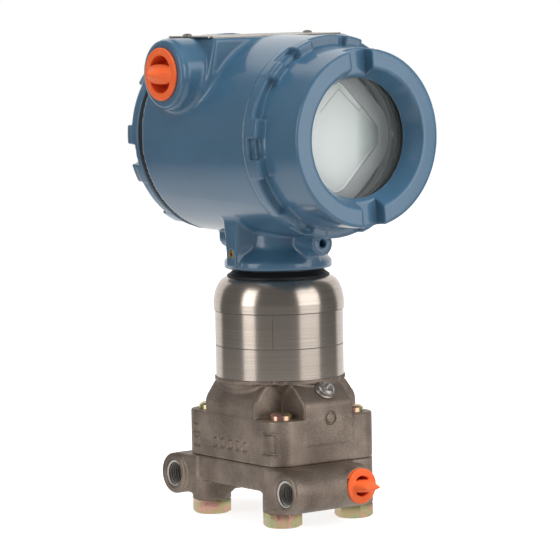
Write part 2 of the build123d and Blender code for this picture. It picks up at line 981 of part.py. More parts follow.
def housing_rooms():
    """The electronics room in front, the terminal room behind, and the bores into them."""
    rooms = facing("-Y", 0, partition_front, z_axis) * rod(
        front_room_radius, barrel_front + partition_front
    )
    rooms += facing("+Y", 0, partition_back, z_axis) * rod(
        back_room_radius, barrel_back - partition_back
    )
    rooms += facing("-Y", 0, -barrel_front + cover_thread_depth, z_axis) * rod(
        cover_thread_radius, cover_thread_depth
    )
    rooms += facing("-Y", 0, -barrel_front + o_ring_groove, z_axis) * rod(
        cover_thread_radius + o_ring_groove, o_ring_groove
    )
    rooms += facing("+Y", 0, barrel_back - cover_thread_depth, z_axis) * rod(
        cover_thread_radius, cover_thread_depth
    )
    for direction in ("-X", "+X"):
        rooms += facing(direction, 0, conduit_y, z_conduit) * rod(
            conduit_bore_radius, conduit_reach
        )
    rooms += facing("+Y", 0, partition_front, z_axis) * rod(
        feedthrough_radius, partition_back - partition_front
    )
    return rooms


def small_housing_holes():
    """Holes for the set screw and tag screws, and the blind ones in the boss bar."""
    holes = facing("-X", 0, 0, z_housing + set_screw_rise) * rod(
        set_screw_radius, rib_reach + overlap
    )
    for direction, y in (("+Y", -boss_bar_front), ("-Y", boss_bar_back)):
        holes += facing(direction, boss_bar_x, y, z_housing + boss_bar_rise) * rod(
            boss_bar_hole_radius, boss_bar_hole_depth
        )
    for side in (-1, 1):
        holes += Pos(side * tag_screw_x, tag_screw_y, z_pad_top - tag_hole_depth) * rod(
            tag_hole_radius, tag_hole_depth
        )
    return holes


def rotation_set_screw():
    """Small socket screw at the foot of the left rib that locks the housing's turn."""
    start = rib_reach - set_screw_length
    screw = rod(set_screw_radius - thread_clearance, set_screw_length)
    screw -= Pos(0, 0, set_screw_length - set_screw_socket_depth) * extrude(
        RegularPolygon(set_screw_socket, 6), set_screw_socket_depth
    )
    return facing("-X", -start, 0, z_housing + set_screw_rise) * screw


def tag_plate():
    """Bare steel tag plate on the pad, held by two small screws."""
    plate = extrude(RectangleRounded(tag_length, tag_width, tag_corner), tag_thickness)
    for side in (-1, 1):
        plate -= Pos(side * tag_screw_x, tag_screw_y - conduit_y, 0) * rod(
            tag_plate_hole_radius, tag_thickness
        )
    return Pos(0, conduit_y, z_pad_top) * plate


def tag_screws():
    """Two round-head drive screws through the tag plate."""
    screw = Pos(0, 0, -tag_screw_length) * rod(tag_screw_radius, tag_screw_length + tag_thickness)
    screw += Pos(0, 0, tag_thickness) * turned(
        [
            (0, 0),
            (tag_head_radius, 0),
            (tag_head_radius, tag_head_edge),
            (tag_head_radius - tag_head_round, tag_head_edge + tag_head_round),
            (0, tag_head_height),
        ]
    )
    return joined(
        [Pos(side * tag_screw_x, tag_screw_y, z_pad_top) * screw for side in (-1, 1)]
    )


def cover_rim(height, turn):
    """Castellated rim: clusters of two raised lugs with a spanner notch between them."""
    rim = rod(rim_radius, height)
    step = 360 / lug_clusters
    outer = 2 * rim_radius

    def wedge(angle, radius_in, low, high):
        half = math.radians(angle / 2)
        reach = outer * math.cos(half)
        side = outer * math.sin(half)
        sector = extrude(
            make_face(Polyline((0, 0), (reach, side), (reach, -side), close=True)), high - low
        )
        band = ring(rim_radius, radius_in, high - low)
        return Pos(0, 0, low) * (sector & band)

    inside = step_radius - overlap
    cluster = wedge(notch_angle + 2 * lug_angle, inside, height, height + lug_height)
    gap = wedge(notch_angle, rim_radius - notch_wall, height - notch_depth, height)
    gap += wedge(notch_angle, inside - overlap, height, height + lug_height)
    for i in range(lug_clusters):
        spin = Rot(0, 0, turn + i * step)
        rim += spin * cluster
        rim -= spin * gap
    return rim


def wrench_slots(start, length, depth, face):
    """Two radial slots across a cover's face, opposite each other, for a flat bar."""
    slot = Pos(start + length / 2, 0, face - depth) * block(length, slot_width, depth)
    return Rot(0, 0, slot_turn) * slot + Rot(0, 0, slot_turn + 180) * slot


def front_cover():
    """Windowed cover: castellated rim, tapered nose, wrench slots, seat and thread skirt."""
    cover = cover_rim(rim_height, front_lug_turn)
    nose = front_cover_length
    cover += turned(
        [
            (0, 0),
            (step_radius, 0),
            (step_radius, rim_height),
            (nose_radius, nose - nose_chamfer),
            (nose_radius - nose_chamfer, nose),
            (0, nose),
        ]
    )
    cover += Pos(0, 0, -skirt_length) * rod(
        cover_thread_radius - running_clearance, skirt_length
    )
    inner = glass_radius + retainer_thread
    cover -= turned(
        [
            (0, -skirt_length),
            (skirt_bore, -skirt_length),
            (skirt_bore, bore_shoulder_low),
            (inner, bore_shoulder_high),
            (inner, glass_low),
            (glass_radius + glass_fit, glass_low),
            (glass_radius + glass_fit, glass_seat),
            (window_radius, glass_seat),
            (window_radius, glass_seat + window_land),
            (ring_inner_radius, nose),
            (0, nose),
        ]
    )
    cover -= wrench_slots(ring_inner_radius - slot_inset, slot_cut, slot_depth, nose)
    return front_cover_place() * cover


def front_cover_place():
    """Place of the front joint face, with +Z forward."""
    return facing("-Y", 0, -barrel_front, z_axis)


def window_gasket():
    """Flat black gasket between the glass and the cover's land."""
    gasket = ring(glass_radius, window_radius + window_land, gasket_thickness)
    return front_cover_place() * Pos(0, 0, glass_seat - gasket_thickness) * gasket


def window_glass():
    """Thick round tempered window."""
    return front_cover_place() * Pos(0, 0, glass_low) * rod(glass_radius, glass_thickness)


def window_retainer():
    """Threaded ring that clamps the glass from behind."""
    outer = glass_radius + retainer_thread - thread_clearance
    inner = outer - retainer_wall
    body = ring(outer, inner, retainer_thickness)
    for turn in (0, 180):
        body -= Rot(0, 0, turn) * Pos(inner, 0, 0) * block(
            retainer_notch_length, retainer_notch_width, retainer_notch_depth
        )
    return front_cover_place() * Pos(0, 0, retainer_low) * body


def front_o_ring():
    """O-ring in the housing's mouth, under the front cover's rim."""
    outer = cover_thread_radius + o_ring_groove - o_ring_squeeze
    inner = cover_thread_radius + thread_clearance
    height = o_ring_groove - o_ring_squeeze - thread_clearance
    return front_cover_place() * Pos(0, 0, o_ring_squeeze - o_ring_groove) * ring(
        outer, inner, height
    )


def back_cover_place():
    """Place of the back cover's joint face, with +Z pointing back."""
    return facing("+Y", 0, barrel_back + back_cover_gap, z_axis)


def rear_cover():
    """Blind cover of the terminal room with the same rim and a dished back."""
    length = back_cover_length
    cover = cover_rim(length - lug_height, back_lug_turn)
    cover += turned(
        [
            (0, 0),
            (step_radius, 0),
            (step_radius, length - back_cover_edge),
            (step_radius - back_cover_edge, length),
            (0, length),
        ]
    )
    depth = skirt_length + back_cover_gap
    cover += Pos(0, 0, -depth) * rod(cover_thread_radius - running_clearance, depth)
    cover -= Pos(0, 0, -depth) * rod(skirt_bore, depth + length - back_cover_wall)
    cover -= Pos(0, 0, length - back_dish_depth) * rod(back_dish_radius, back_dish_depth)
    cover -= wrench_slots(
        back_dish_radius - back_slot_inset, back_slot_cut, back_slot_depth, length
    )
    return back_cover_place() * cover


def rear_o_ring():
    """Black O-ring that fills the gap under the back cover's rim."""
    height = back_cover_gap - 2 * turning_gap
    inner = cover_thread_radius + thread_clearance
    outer = barrel_back_radius - rear_ring_inset
    section = turned(
        [
            (inner, 0),
            (outer - rear_ring_edge, 0),
            (outer, rear_ring_edge_height),
            (outer, height - rear_ring_edge_height),
            (outer - rear_ring_edge, height),
            (inner, height),
        ]
    )
    return back_cover_place() * Pos(0, 0, turning_gap - back_cover_gap) * section


def electronics_board():
    """Main circuit board on posts in the front room, with its larger parts."""
    board = rod(board_radius, board_thickness)
    for side in (-1, 1):
        board += Pos(-chip_x, side * chip_y, board_thickness) * block(
            chip_length, chip_width, chip_height
        )
        board += Pos(chip_x, side * chip_y, board_thickness) * rod(
            capacitor_radius, capacitor_height
        )
    return facing("-Y", 0, board_y, z_axis) * board


def board_posts():
    """Hexagon posts between the partition and the board."""
    post = extrude(RegularPolygon(post_radius, 6), post_length)
    step = 360 / posts_on_board
    return joined(
        [
            facing("-Y", 0, partition_front, z_axis)
            * Rot(0, 0, step * (i + 0.5))
            * Pos(post_offset, 0, 0)
            * post
            for i in range(posts_on_board)
        ]
    )


def electronics_carrier():
    """Black moulded cup over the board that carries the meter."""
    length = board_y - board_thickness - carrier_front
    cup = rod(carrier_radius, length) - rod(carrier_radius - cup_wall, length - cup_floor)
    return facing("-Y", 0, board_y - board_thickness, z_axis) * cup


def meter_place(depth):
    """Place in front of the carrier, turned an eighth so that the square stands on a corner."""
    return facing("-Y", 0, carrier_front - depth, z_axis) * Rot(0, 0, 45)


def display_body():
    """Grey meter body: a round plate with a raised square holder."""
    body = rod(meter_radius, meter_length)
    body = chamfer(body.edges().sort_by(Axis.Z)[-1], meter_edge)
    body += Pos(0, 0, meter_length) * extrude(
        RectangleRounded(meter_square, meter_square, meter_corner), meter_square_length
    )
    body -= Pos(0, 0, meter_length + meter_square_length - panel_thickness) * panel_outline()
    for turn in (0, 180):
        place = Pos(meter_screw_offset, 0, meter_length - meter_shank_length)
        body -= Rot(0, 0, turn) * place * rod(
            meter_shank_radius + meter_hole_clearance, meter_shank_length
        )
    return meter_place(0) * body


def panel_outline():
    """Square panel with rounded corners."""
    return extrude(
        RectangleRounded(panel_square, panel_square, panel_corner), panel_thickness
    )


def display_panel():
    """Liquid-crystal panel, bare of characters."""
    depth = meter_length + meter_square_length - panel_thickness
    return meter_place(depth) * panel_outline()


def display_lens():
    """Clear bevelled cover in front of the panel."""
    depth = meter_length + meter_square_length
    lens = extrude(RectangleRounded(lens_square, lens_square, meter_corner), lens_thickness)
    lens = chamfer(lens.faces().sort_by(Axis.Z)[-1].edges(), lens_bevel)
    return meter_place(depth) * lens


def meter_screws():
    """Two captive screws that hold the meter on its carrier."""
    head = rod(meter_screw_radius, meter_screw_head)
    head -= Pos(0, 0, meter_screw_head - meter_screw_slot_depth) * block(
        meter_screw_slot_length, meter_screw_slot_width, meter_screw_slot_depth
    )
    screw = head + Pos(0, 0, -meter_shank_length) * rod(meter_shank_radius, meter_shank_length)
    return joined(
        [
            meter_place(meter_length) * Rot(0, 0, turn) * Pos(meter_screw_offset, 0, 0) * screw
            for turn in (0, 180)
        ]
    )


def terminal_block():
    """Black moulded terminal block on its round plate in the back room."""
    plate = rod(terminal_plate_radius, terminal_plate_thickness)
    body = Pos(0, terminal_rise, terminal_plate_thickness) * block(
        terminal_block_x, terminal_block_z, terminal_block_height
    )
    floor = terminal_plate_thickness + terminal_block_height - terminal_bay_depth
    for x in terminal_places():
        body -= Pos(x, terminal_rise, floor) * block(
            terminal_bay_width, terminal_block_z, terminal_bay_depth
        )
        body -= Pos(x, terminal_rise, floor - terminal_shank_length - overlap) * rod(
            terminal_shank_radius + thread_clearance, terminal_shank_length + overlap
        )
    return facing("+Y", 0, partition_back, z_axis) * (plate + body)


def terminal_places():
    """Distances of the terminal screws from the middle of the row."""
    middle = (terminal_screws_in_row - 1) / 2
    return [(i - middle) * terminal_pitch for i in range(terminal_screws_in_row)]


def terminal_screws():
    """Wiring screws with square clamp washers, one in each bay of the block."""
    washer = block(terminal_washer_side, terminal_washer_side, terminal_washer_thickness)
    head = Pos(0, 0, terminal_washer_thickness) * rod(terminal_screw_radius, terminal_head_height)
    head_top = terminal_washer_thickness + terminal_head_height
    head -= Pos(0, 0, head_top - terminal_slot_depth) * block(
        terminal_slot_length, terminal_slot_width, terminal_slot_depth
    )
    shank = Pos(0, 0, -terminal_shank_length) * rod(terminal_shank_radius, terminal_shank_length)
    screw = head + washer + shank
    seat = terminal_plate_thickness + terminal_block_height - terminal_bay_depth
    return joined(
        [
            facing("+Y", 0, partition_back, z_axis) * Pos(x, terminal_rise, seat) * screw
            for x in terminal_places()
        ]
    )


def feedthrough():
    """Sealed feed-through plug in the partition between the rooms, its pins to the front."""
    length = partition_back - partition_front
    flange = length + feedthrough_flange_thickness
    body = rod(feedthrough_radius - feedthrough_fit, length)
    body += Pos(0, 0, length) * rod(
        feedthrough_radius + feedthrough_flange, feedthrough_flange_thickness
    )
    for x in (-feedthrough_pin_offset, feedthrough_pin_offset):
        body += Pos(x, 0, flange) * rod(feedthrough_pin_radius, feedthrough_pin_length)
    return facing("-Y", 0, partition_back, z_axis) * body


def tab_plug(radius, shank_radius, length, tab, ridge, grooved):
    """Moulded plug: flange, tapered shank, two D-shaped pockets and a wedge of a finger tab."""
    flange = plug_flange
    body = turned(
        [
            (0, -length),
            (shank_radius - plug_taper, -length),
            (shank_radius, 0),
            (radius, 0),
            (radius, flange - plug_edge),
            (radius - plug_edge, flange),
            (0, flange),
        ]
    )
    if grooved:
        body -= Pos(0, 0, plug_groove_low) * ring(
            radius, radius - plug_groove_depth, plug_groove_width
        )
    pocket = shank_radius - plug_wall
    body -= Pos(0, 0, -plug_pocket_depth) * rod(pocket, flange + plug_pocket_depth)
    tip = flange + tab
    root = pocket + plug_wall / 2

    def both_sides(right):
        return [(-x, h) for x, h in reversed(right)] + right

    outline = both_sides(
        [
            (ridge, tip),
            (ridge + tab_shoulder_run, tip - tab_shoulder_drop),
            (root, flange - plug_edge),
            (root, -plug_pocket_depth),
        ]
    )
    wedge = both_sides(
        [
            (tab_ridge_thickness, tip),
            (tab_face_thickness * pocket, flange),
            (tab_root_thickness * pocket, -plug_pocket_depth),
        ]
    )
    blade = prism(outline, 4 * pocket, Plane.XZ) & prism(wedge, 4 * pocket, Plane.YZ)
    return body + (blade & Pos(0, 0, -length) * rod(root, 2 * length + tip))


def conduit_plug(direction):
    """Large plug in a conduit entry, its tab turned as it was pushed in."""
    side = 1 if direction == "+X" else -1
    plug = Rot(0, 0, 90 + side * conduit_tab_turn) * tab_plug(
        conduit_plug_radius,
        conduit_bore_radius - plug_clearance,
        conduit_plug_length,
        conduit_plug_tab,
        conduit_tab_ridge,
        False,
    )
    x = side * (conduit_reach + plug_gap)
    return facing(direction, x, conduit_y, z_conduit) * plug


def process_plug(direction):
    """Small plug in a process port, its tab nearly level."""
    plug = Rot(0, 0, process_tab_turn) * tab_plug(
        process_plug_radius,
        port_thread_radius - plug_clearance,
        process_plug_length,
        process_plug_tab,
        process_tab_ridge,
        True,
    )
    side = 1 if direction == "+Y" else -1
    y = side * (port_face_reach + plug_gap)
    return facing(direction, port_x, y, z_port) * plug


PARTS = {
    "coplanar_flange": coplanar_flange,
    "flange_bolts": flange_bolts,
    "process_o_rings": process_o_rings,
    "module_base": module_base,
    "isolator_diaphragms": isolator_diaphragms,
    "fill_tubes": fill_tubes,
    "sensor_cell": sensor_cell,
    "sensor_can": sensor_can,
    "dome_cap": dome_cap,
    "board_carrier": board_carrier,
    "module_board": module_board,
    "module_neck": module_neck,
    "header_connector": header_connector,
    "neck_seal": neck_seal,
    "ground_screw": ground_screw,
    "ground_washer": ground_washer,
    "housing": housing,
    "rotation_set_screw": rotation_set_screw,
    "tag_plate": tag_plate,
    "tag_screws": tag_screws,
    "front_cover": front_cover,
    "window_gasket": window_gasket,
    "window_glass": window_glass,
    "window_retainer": window_retainer,
    "front_o_ring": front_o_ring,
    "rear_cover": rear_cover,
    "rear_o_ring": rear_o_ring,
    "electronics_board": electronics_board,
    "board_posts": board_posts,
    "electronics_carrier": electronics_carrier,
    "display_body": display_body,
    "display_panel": display_panel,
    "display_lens": display_lens,
    "meter_screws": meter_screws,
    "terminal_block": terminal_block,
    "terminal_screws": terminal_screws,
    "feedthrough": feedthrough,
    "conduit_plug_left": lambda: conduit_plug("-X"),
    "conduit_plug_right": lambda: conduit_plug("+X"),
    "process_plug_front": lambda: process_plug("-Y"),
    "process_plug_rear": lambda: process_plug("+Y"),
}

os.makedirs("parts", exist_ok=True)
for node, build in PARTS.items():
    export_step(FRAME * build(), f"parts/{node}.step")
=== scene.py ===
"""Looks of a flat-flange pressure transmitter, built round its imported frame."""

import json
import math

import bpy
import bmesh
import numpy as np
from mathutils import Matrix, Vector

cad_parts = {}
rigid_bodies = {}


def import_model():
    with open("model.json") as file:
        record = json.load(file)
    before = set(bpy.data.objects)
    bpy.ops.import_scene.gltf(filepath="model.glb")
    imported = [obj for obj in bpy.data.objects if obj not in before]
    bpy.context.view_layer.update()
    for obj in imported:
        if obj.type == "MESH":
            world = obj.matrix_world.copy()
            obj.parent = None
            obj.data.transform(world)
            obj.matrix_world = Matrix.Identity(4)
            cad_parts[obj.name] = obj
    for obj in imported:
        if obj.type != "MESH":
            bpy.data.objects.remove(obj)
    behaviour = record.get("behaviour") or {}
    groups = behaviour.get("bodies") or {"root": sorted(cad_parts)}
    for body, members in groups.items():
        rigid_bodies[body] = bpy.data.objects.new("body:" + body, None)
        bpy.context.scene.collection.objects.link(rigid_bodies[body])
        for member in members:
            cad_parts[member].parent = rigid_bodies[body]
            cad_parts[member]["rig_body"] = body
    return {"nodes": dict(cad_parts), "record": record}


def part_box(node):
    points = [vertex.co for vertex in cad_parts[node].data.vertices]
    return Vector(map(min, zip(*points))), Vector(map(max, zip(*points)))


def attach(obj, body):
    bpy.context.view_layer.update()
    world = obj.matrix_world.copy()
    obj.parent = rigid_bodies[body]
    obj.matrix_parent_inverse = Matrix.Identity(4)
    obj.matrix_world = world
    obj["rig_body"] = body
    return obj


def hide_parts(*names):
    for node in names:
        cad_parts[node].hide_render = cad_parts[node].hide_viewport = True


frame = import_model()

bl_info = {
    "name": "Pressure Transmitter Looks",
    "version": (1, 0, 0),
    "blender": (4, 5, 0),
    "location": "View3D > Sidebar > Transmitter",
    "description": "Cast, turned and moulded surfaces of a flat-flange pressure transmitter",
    "category": "Object",
}

MM = 0.001


def span(node):
    """Lowest and highest corner of a node of the frame, in millimetres."""
    low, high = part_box(node)
    return np.array(low) / MM, np.array(high) / MM


CAN_LOW, CAN_HIGH = span("sensor_can")
COVER_LOW, COVER_HIGH = span("front_cover")
HOUSING_LOW, HOUSING_HIGH = span("housing")

# Heights and places in millimetres, read from the frame
MIDDLE_Y = (CAN_LOW[1] + CAN_HIGH[1]) / 2
CAN_RADIUS = (CAN_HIGH[0] - CAN_LOW[0]) / 2
Z_JOINT = span("module_base")[0][2]
Z_CAN = CAN_LOW[2]
Z_DOME = CAN_HIGH[2]
Z_HOUSING = HOUSING_LOW[2]
Z_AXIS = (COVER_LOW[2] + COVER_HIGH[2]) / 2
RIM_RADIUS = (COVER_HIGH[0] - COVER_LOW[0]) / 2
Z_PAD_TOP = span("tag_plate")[0][2]
CONDUIT_REACH = HOUSING_HIGH[0]

# Half width, half length and corner radius of the flange's plate and of the base's block
BLOCK_X, BLOCK_Y, BLOCK_CORNER = 31.5, 39.8, 9.7

# Axes of the bolts, of the port bars, of the plug ports and of the conduits, y from MIDDLE_Y
BOLT_X, BOLT_Y = 22.15, 29.65
BAR_Y, BAR_Z, BAR_LEFT = 46.7, 19.0, -34.0
PORT_X, PORT_Z, PORT_FACE = 6.0, 20.0, 54.5
CONDUIT_Y, CONDUIT_Z = 15.5, 222.0

# Root radius of the vent holes' thread, and the pitches of that thread and of the covers'
VENT_RADIUS, VENT_PITCH, COVER_PITCH = 6.6, 1.41, 2.0

# Air left under a plug's flange
PLUG_GAP = 0.1

# The boss bar's axis: x, and height above the housing's foot
BOSS_X, BOSS_UP = 2.0, 13.2

# How far each cover stands out of its joint with the housing, and where that joint is
NOSE_REACH, DISH_REACH = 34.5, 9.5
FRONT_JOINT = COVER_LOW[1] + NOSE_REACH
REAR_JOINT = span("rear_cover")[1][1] - DISH_REACH
SKIRT_RADIUS, SKIRT_BORE = 43.25, 39.45
WRENCH_TURN = math.radians(94.5)

# Way from the object to the white backdrop behind it
BACKDROP = (math.sin(math.radians(143)), -math.cos(math.radians(143)), 0)


# Shapes as distance fields: each takes points in millimetres and gives the distance to a skin,
# negative inside


def rounded_meet(a, b, edge):
    """Where two half spaces meet, with a rounded outer edge: the length of both excesses past
    the edge's centre, or the nearer wall inside."""
    outside = np.hypot(np.maximum(a + edge, 0), np.maximum(b + edge, 0))
    return outside + np.minimum(np.maximum(a, b) + edge, 0) - edge


def join(a, b, blend):
    """Union with a fillet: a quadratic blend of the two distances where they are alike."""
    share = np.clip(0.5 + 0.5 * (b - a) / blend, 0, 1)
    return b + (a - b) * share - blend * share * (1 - share)


def cut(a, b, blend):
    """The first form less the second, with the edge between them eased by a quadratic blend."""
    return -join(-a, b, blend)


def common(a, b, blend):
    """What two forms share, with the edge between them eased by a quadratic blend."""
    return -join(-a, -b, blend)


def post(across, up, along, radius, low, high, edge):
    """Round post: radial distance from its axis against its length, with a rounded rim."""
    return rounded_meet(np.hypot(across, up) - radius, np.maximum(low - along, along - high), edge)


def rounded_plate(x, y, half_x, half_y, corner):
    """Distance to a rectangle with round corners, in its own plane."""
    dx = np.abs(x) - (half_x - corner)
    dy = np.abs(y) - (half_y - corner)
    outside = np.hypot(np.maximum(dx, 0), np.maximum(dy, 0))
    return outside + np.minimum(np.maximum(dx, dy), 0) - corner


def between(value, low, high):
    """Distance to a slab between two planes."""
    return np.maximum(low - value, value - high)


def cast_skin(field, low, high, step):
    """Closed skin where a field is zero, as points and four-sided faces. Each cell of a grid that
    the skin crosses holds one point. The point starts at the cell's middle and goes down the
    field's slope, by the field over the slope's length, and neighbours are evened out between."""
    axes = [np.arange(a - 2 * step, b + 3 * step, step) for a, b in zip(low, high)]
    value = field(*np.meshgrid(*axes, indexing="ij"))
    inside = value < 0
    cells = tuple(n - 1 for n in inside.shape)
    count = np.zeros(cells, np.int8)
    for i in (0, 1):
        for j in (0, 1):
            for k in (0, 1):
                count += inside[i : i + cells[0], j : j + cells[1], k : k + cells[2]]
    crossed = (count > 0) & (count < 8)
    number = np.full(cells, -1)
    number[crossed] = np.arange(crossed.sum())
    place = np.argwhere(crossed)
    points = np.stack([axes[d][place[:, d]] + step / 2 for d in range(3)], 1)
    faces = []
    for d in range(3):
        first = np.moveaxis(inside, d, 0)
        change = first[1:, 1:-1, 1:-1] != first[:-1, 1:-1, 1:-1]
        outward = first[:-1, 1:-1, 1:-1][change]
        turned_number = np.moveaxis(number, d, 0)
        i, j, k = np.nonzero(change)
        ring = np.stack(
            [
                turned_number[i, j, k],
                turned_number[i, j + 1, k],
                turned_number[i, j + 1, k + 1],
                turned_number[i, j, k + 1],
            ],
            1,
        )
        flip = outward if d == 1 else ~outward
        ring[flip] = ring[flip][:, ::-1]
        faces.append(ring)
    faces = np.concatenate(faces)
    pairs = np.concatenate([faces[:, [n, (n + 1) % 4]] for n in range(4)])
    for even in (True, True, False):
        points = draw_onto(field, points, step)
        if even:
            total = np.zeros_like(points)
            share = np.zeros(len(points))
            np.add.at(total, pairs[:, 0], points[pairs[:, 1]])
            np.add.at(share, pairs[:, 0], 1)
            points = 0.5 * points + 0.5 * total / share[:, None]
    return points, faces


def slope(field, points, reach):
    """The field's slope at points, from its change over a small reach each way."""
    change = np.empty_like(points)
    for d in range(3):
        ahead = points.copy()
        ahead[:, d] += reach
        behind = points.copy()
        behind[:, d] -= reach
        change[:, d] = (field(*ahead.T) - field(*behind.T)) / (2 * reach)
    return change


def draw_onto(field, points, step, rounds=3):
    """Points moved onto the skin, never by more than half a cell at a time."""
    for _ in range(rounds):
        lean = slope(field, points, 0.02)
        move = -field(*points.T)[:, None] * lean / np.maximum((lean**2).sum(1), 0.05)[:, None]
        size = np.linalg.norm(move, axis=1)
        points = points + move * np.minimum(1, step / 2 / np.maximum(size, 1e-9))[:, None]
    return points


# Turned and swept shapes


def eased(corners, radius, steps=4):
    """Outline with its inner corners rounded: a quadratic curve of about that radius, cut short
    on short sides."""
    out = []
    places = [np.array(corner, float) for corner in corners]
    for n, place in enumerate(places):
        if n in (0, len(places) - 1):
            out.append(place)
            continue
        back = places[n - 1] - place
        ahead = places[n + 1] - place
        room = min(np.linalg.norm(back), np.linalg.norm(ahead))
        back, ahead = back / np.linalg.norm(back), ahead / np.linalg.norm(ahead)
        half = math.acos(np.clip(back @ ahead, -1, 1)) / 2
        run = min(radius / max(math.tan(half), 1e-3), 0.45 * room)
        start, end = place + back * run, place + ahead * run
        for t in np.linspace(0, 1, steps + 1):
            out.append((1 - t) ** 2 * start + 2 * t * (1 - t) * place + t**2 * end)
    return np.array(out)


# Where a shape's own three axes go, by the way that its third axis is to point
AXES = {
    "-Y": ((1, 0, 0), (0, 0, 1), (0, -1, 0)),
    "+Y": ((1, 0, 0), (0, 0, -1), (0, 1, 0)),
    "-X": ((0, 0, 1), (0, 1, 0), (-1, 0, 0)),
    "+X": ((0, 0, -1), (0, 1, 0), (1, 0, 0)),
}


def placed(points, origin, direction):
    """Points of a shape that stands along its own third axis, turned to a direction and moved."""
    turn = np.array(AXES[direction], float)
    return points @ turn + np.array(origin, float)


def turned(outline, steps=128):
    """Surface of revolution about the third axis. A point is (radius cos a, radius sin a, height)
    for each outline point and each angle a."""
    angle = np.linspace(0, 2 * math.pi, steps, endpoint=False)[:, None]
    radius = np.broadcast_to(outline[None, :, 0], (steps, len(outline)))
    height = np.broadcast_to(outline[None, :, 1], radius.shape)
    grid = np.stack([radius * np.cos(angle), radius * np.sin(angle), height], 2)
    return grid.reshape(-1, 3), grid_faces(steps, len(outline), True)


def grid_faces(rows, columns, closed):
    """Faces of a grid of points, row by row, with the last row joined to the first if closed."""
    row = np.arange(rows if closed else rows - 1)[:, None]
    column = np.arange(columns - 1)[None, :]
    after = (row + 1) % rows
    ring = [row * columns + column, after * columns + column]
    faces = np.stack([ring[0], ring[1], ring[1] + 1, ring[0] + 1], 2)
    return faces.reshape(-1, 4)


def spiral(radius, crest, pitch, low, high, steps=48):
    """Thread ridge: a flat-topped tooth carried along a helix, from its root radius to its crest
    radius, rising one pitch a turn, and fading into the wall at both ends."""
    turns = (high - low) / pitch
    count = int(turns * steps) + 1
    angle = np.linspace(0, 2 * math.pi * turns, count)[:, None]
    fade = np.clip(np.minimum(angle, angle[-1] - angle) / math.pi, 0, 1)
    sunk = radius + math.copysign(0.08, radius - crest)
    flank = [(radius, -0.28), (crest, -0.1), (crest, 0.1), (radius, 0.28)]
    tooth = np.array([(sunk, -0.3), *flank, (sunk, 0.3), (sunk, -0.3)])
    reach = sunk + (tooth[None, :, 0] - sunk) * fade
    height = low + angle / (2 * math.pi) * pitch + tooth[None, :, 1] * pitch * 0.98
    grid = np.stack([reach * np.cos(angle), reach * np.sin(angle), height], 2)
    faces = grid_faces(count, len(tooth), False)
    return grid.reshape(-1, 3), faces if crest > radius else faces[:, ::-1]


def made(name, points, faces, finish, body, slot, stands_for=(), smooth=35):
    """A mesh object from points in millimetres, with its finish, its body and what it replaces.
    Edges sharper than so many degrees stay sharp, and none where that is 0."""
    mesh = bpy.data.meshes.new(name)
    mesh.from_pydata((np.asarray(points) * MM).tolist(), [], np.asarray(faces).tolist())
    bmesh_clean(mesh)
    mesh.materials.append(finish)
    mesh.shade_smooth()
    if smooth:
        mesh.set_sharp_from_angle(angle=math.radians(smooth))
    piece = bpy.data.objects.new(name, mesh)
    bpy.context.scene.collection.objects.link(piece)
    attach(piece, body)
    if stands_for:
        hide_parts(*stands_for)


def bmesh_clean(mesh):
    """Poles and seams closed, and faces pointed outwards."""
    work = bmesh.new()
    work.from_mesh(mesh)
    bmesh.ops.remove_doubles(work, verts=work.verts, dist=1e-6)
    bmesh.ops.recalc_face_normals(work, faces=work.faces)
    work.to_mesh(mesh)
    work.free()


def squared(half, corner, steps=8):
    """Outline of a square with round corners, each an arc, going round once."""
    points = []
    middle = half - corner
    for n, (sx, sy) in enumerate(((1, 1), (-1, 1), (-1, -1), (1, -1))):
        for a in np.linspace(n * math.pi / 2, (n + 1) * math.pi / 2, steps + 1):
            points.append((sx * middle + corner * math.cos(a), sy * middle + corner * math.sin(a)))
    return np.array(points)


def at_height(outline, height):
    """A flat outline lifted to a height."""
    return np.column_stack([outline, np.full(len(outline), height)])


def stepped(outline, sections):
    """Solid whose sections are the outline drawn in by some millimetres at some height, in order,
    closed on the middle at both ends."""
    half = np.abs(outline).max()
    rings = [at_height(outline * (1 - inset / half), height) for inset, height in sections]
    ends = [at_height(np.zeros_like(outline), sections[n][1]) for n in (0, -1)]
    grid = np.stack([ends[0], *rings, ends[1]], 1)
    return grid.reshape(-1, 3), grid_faces(len(outline), grid.shape[1], True)


def softened(node, width_mm):
    """A merged copy of a frame node, its flat faces made whole and its sharp edges rounded."""
    source = frame["nodes"][node]
    slots = {part["node"]: part["material_slot"] for part in frame["record"]["subparts"]}
    mesh = source.data.copy()
    work = bmesh.new()
    work.from_mesh(mesh)
    bmesh.ops.remove_doubles(work, verts=work.verts, dist=2e-6)
    flat, sharp = math.radians(1.5), math.radians(32)
    bmesh.ops.dissolve_limit(work, angle_limit=flat, verts=work.verts, edges=work.edges)
    edges = [e for e in work.edges if len(e.link_faces) == 2 and e.calc_face_angle() > sharp]
    bmesh.ops.bevel(work, geom=edges, offset=width_mm * MM, segments=2, profile=0.5, affect="EDGES",
                    clamp_overlap=True)
    bmesh.ops.recalc_face_normals(work, faces=work.faces)
    work.to_mesh(mesh)
    work.free()
    mesh.materials.clear()
    mesh.materials.append(FINISH[OWN_FINISH.get(node, slots[node])])
    mesh.shade_smooth()
    mesh.set_sharp_from_angle(angle=math.radians(35))
    piece = bpy.data.objects.new(node + "_eased", mesh)
    bpy.context.scene.collection.objects.link(piece)
    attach(piece, source["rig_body"])
    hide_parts(node)


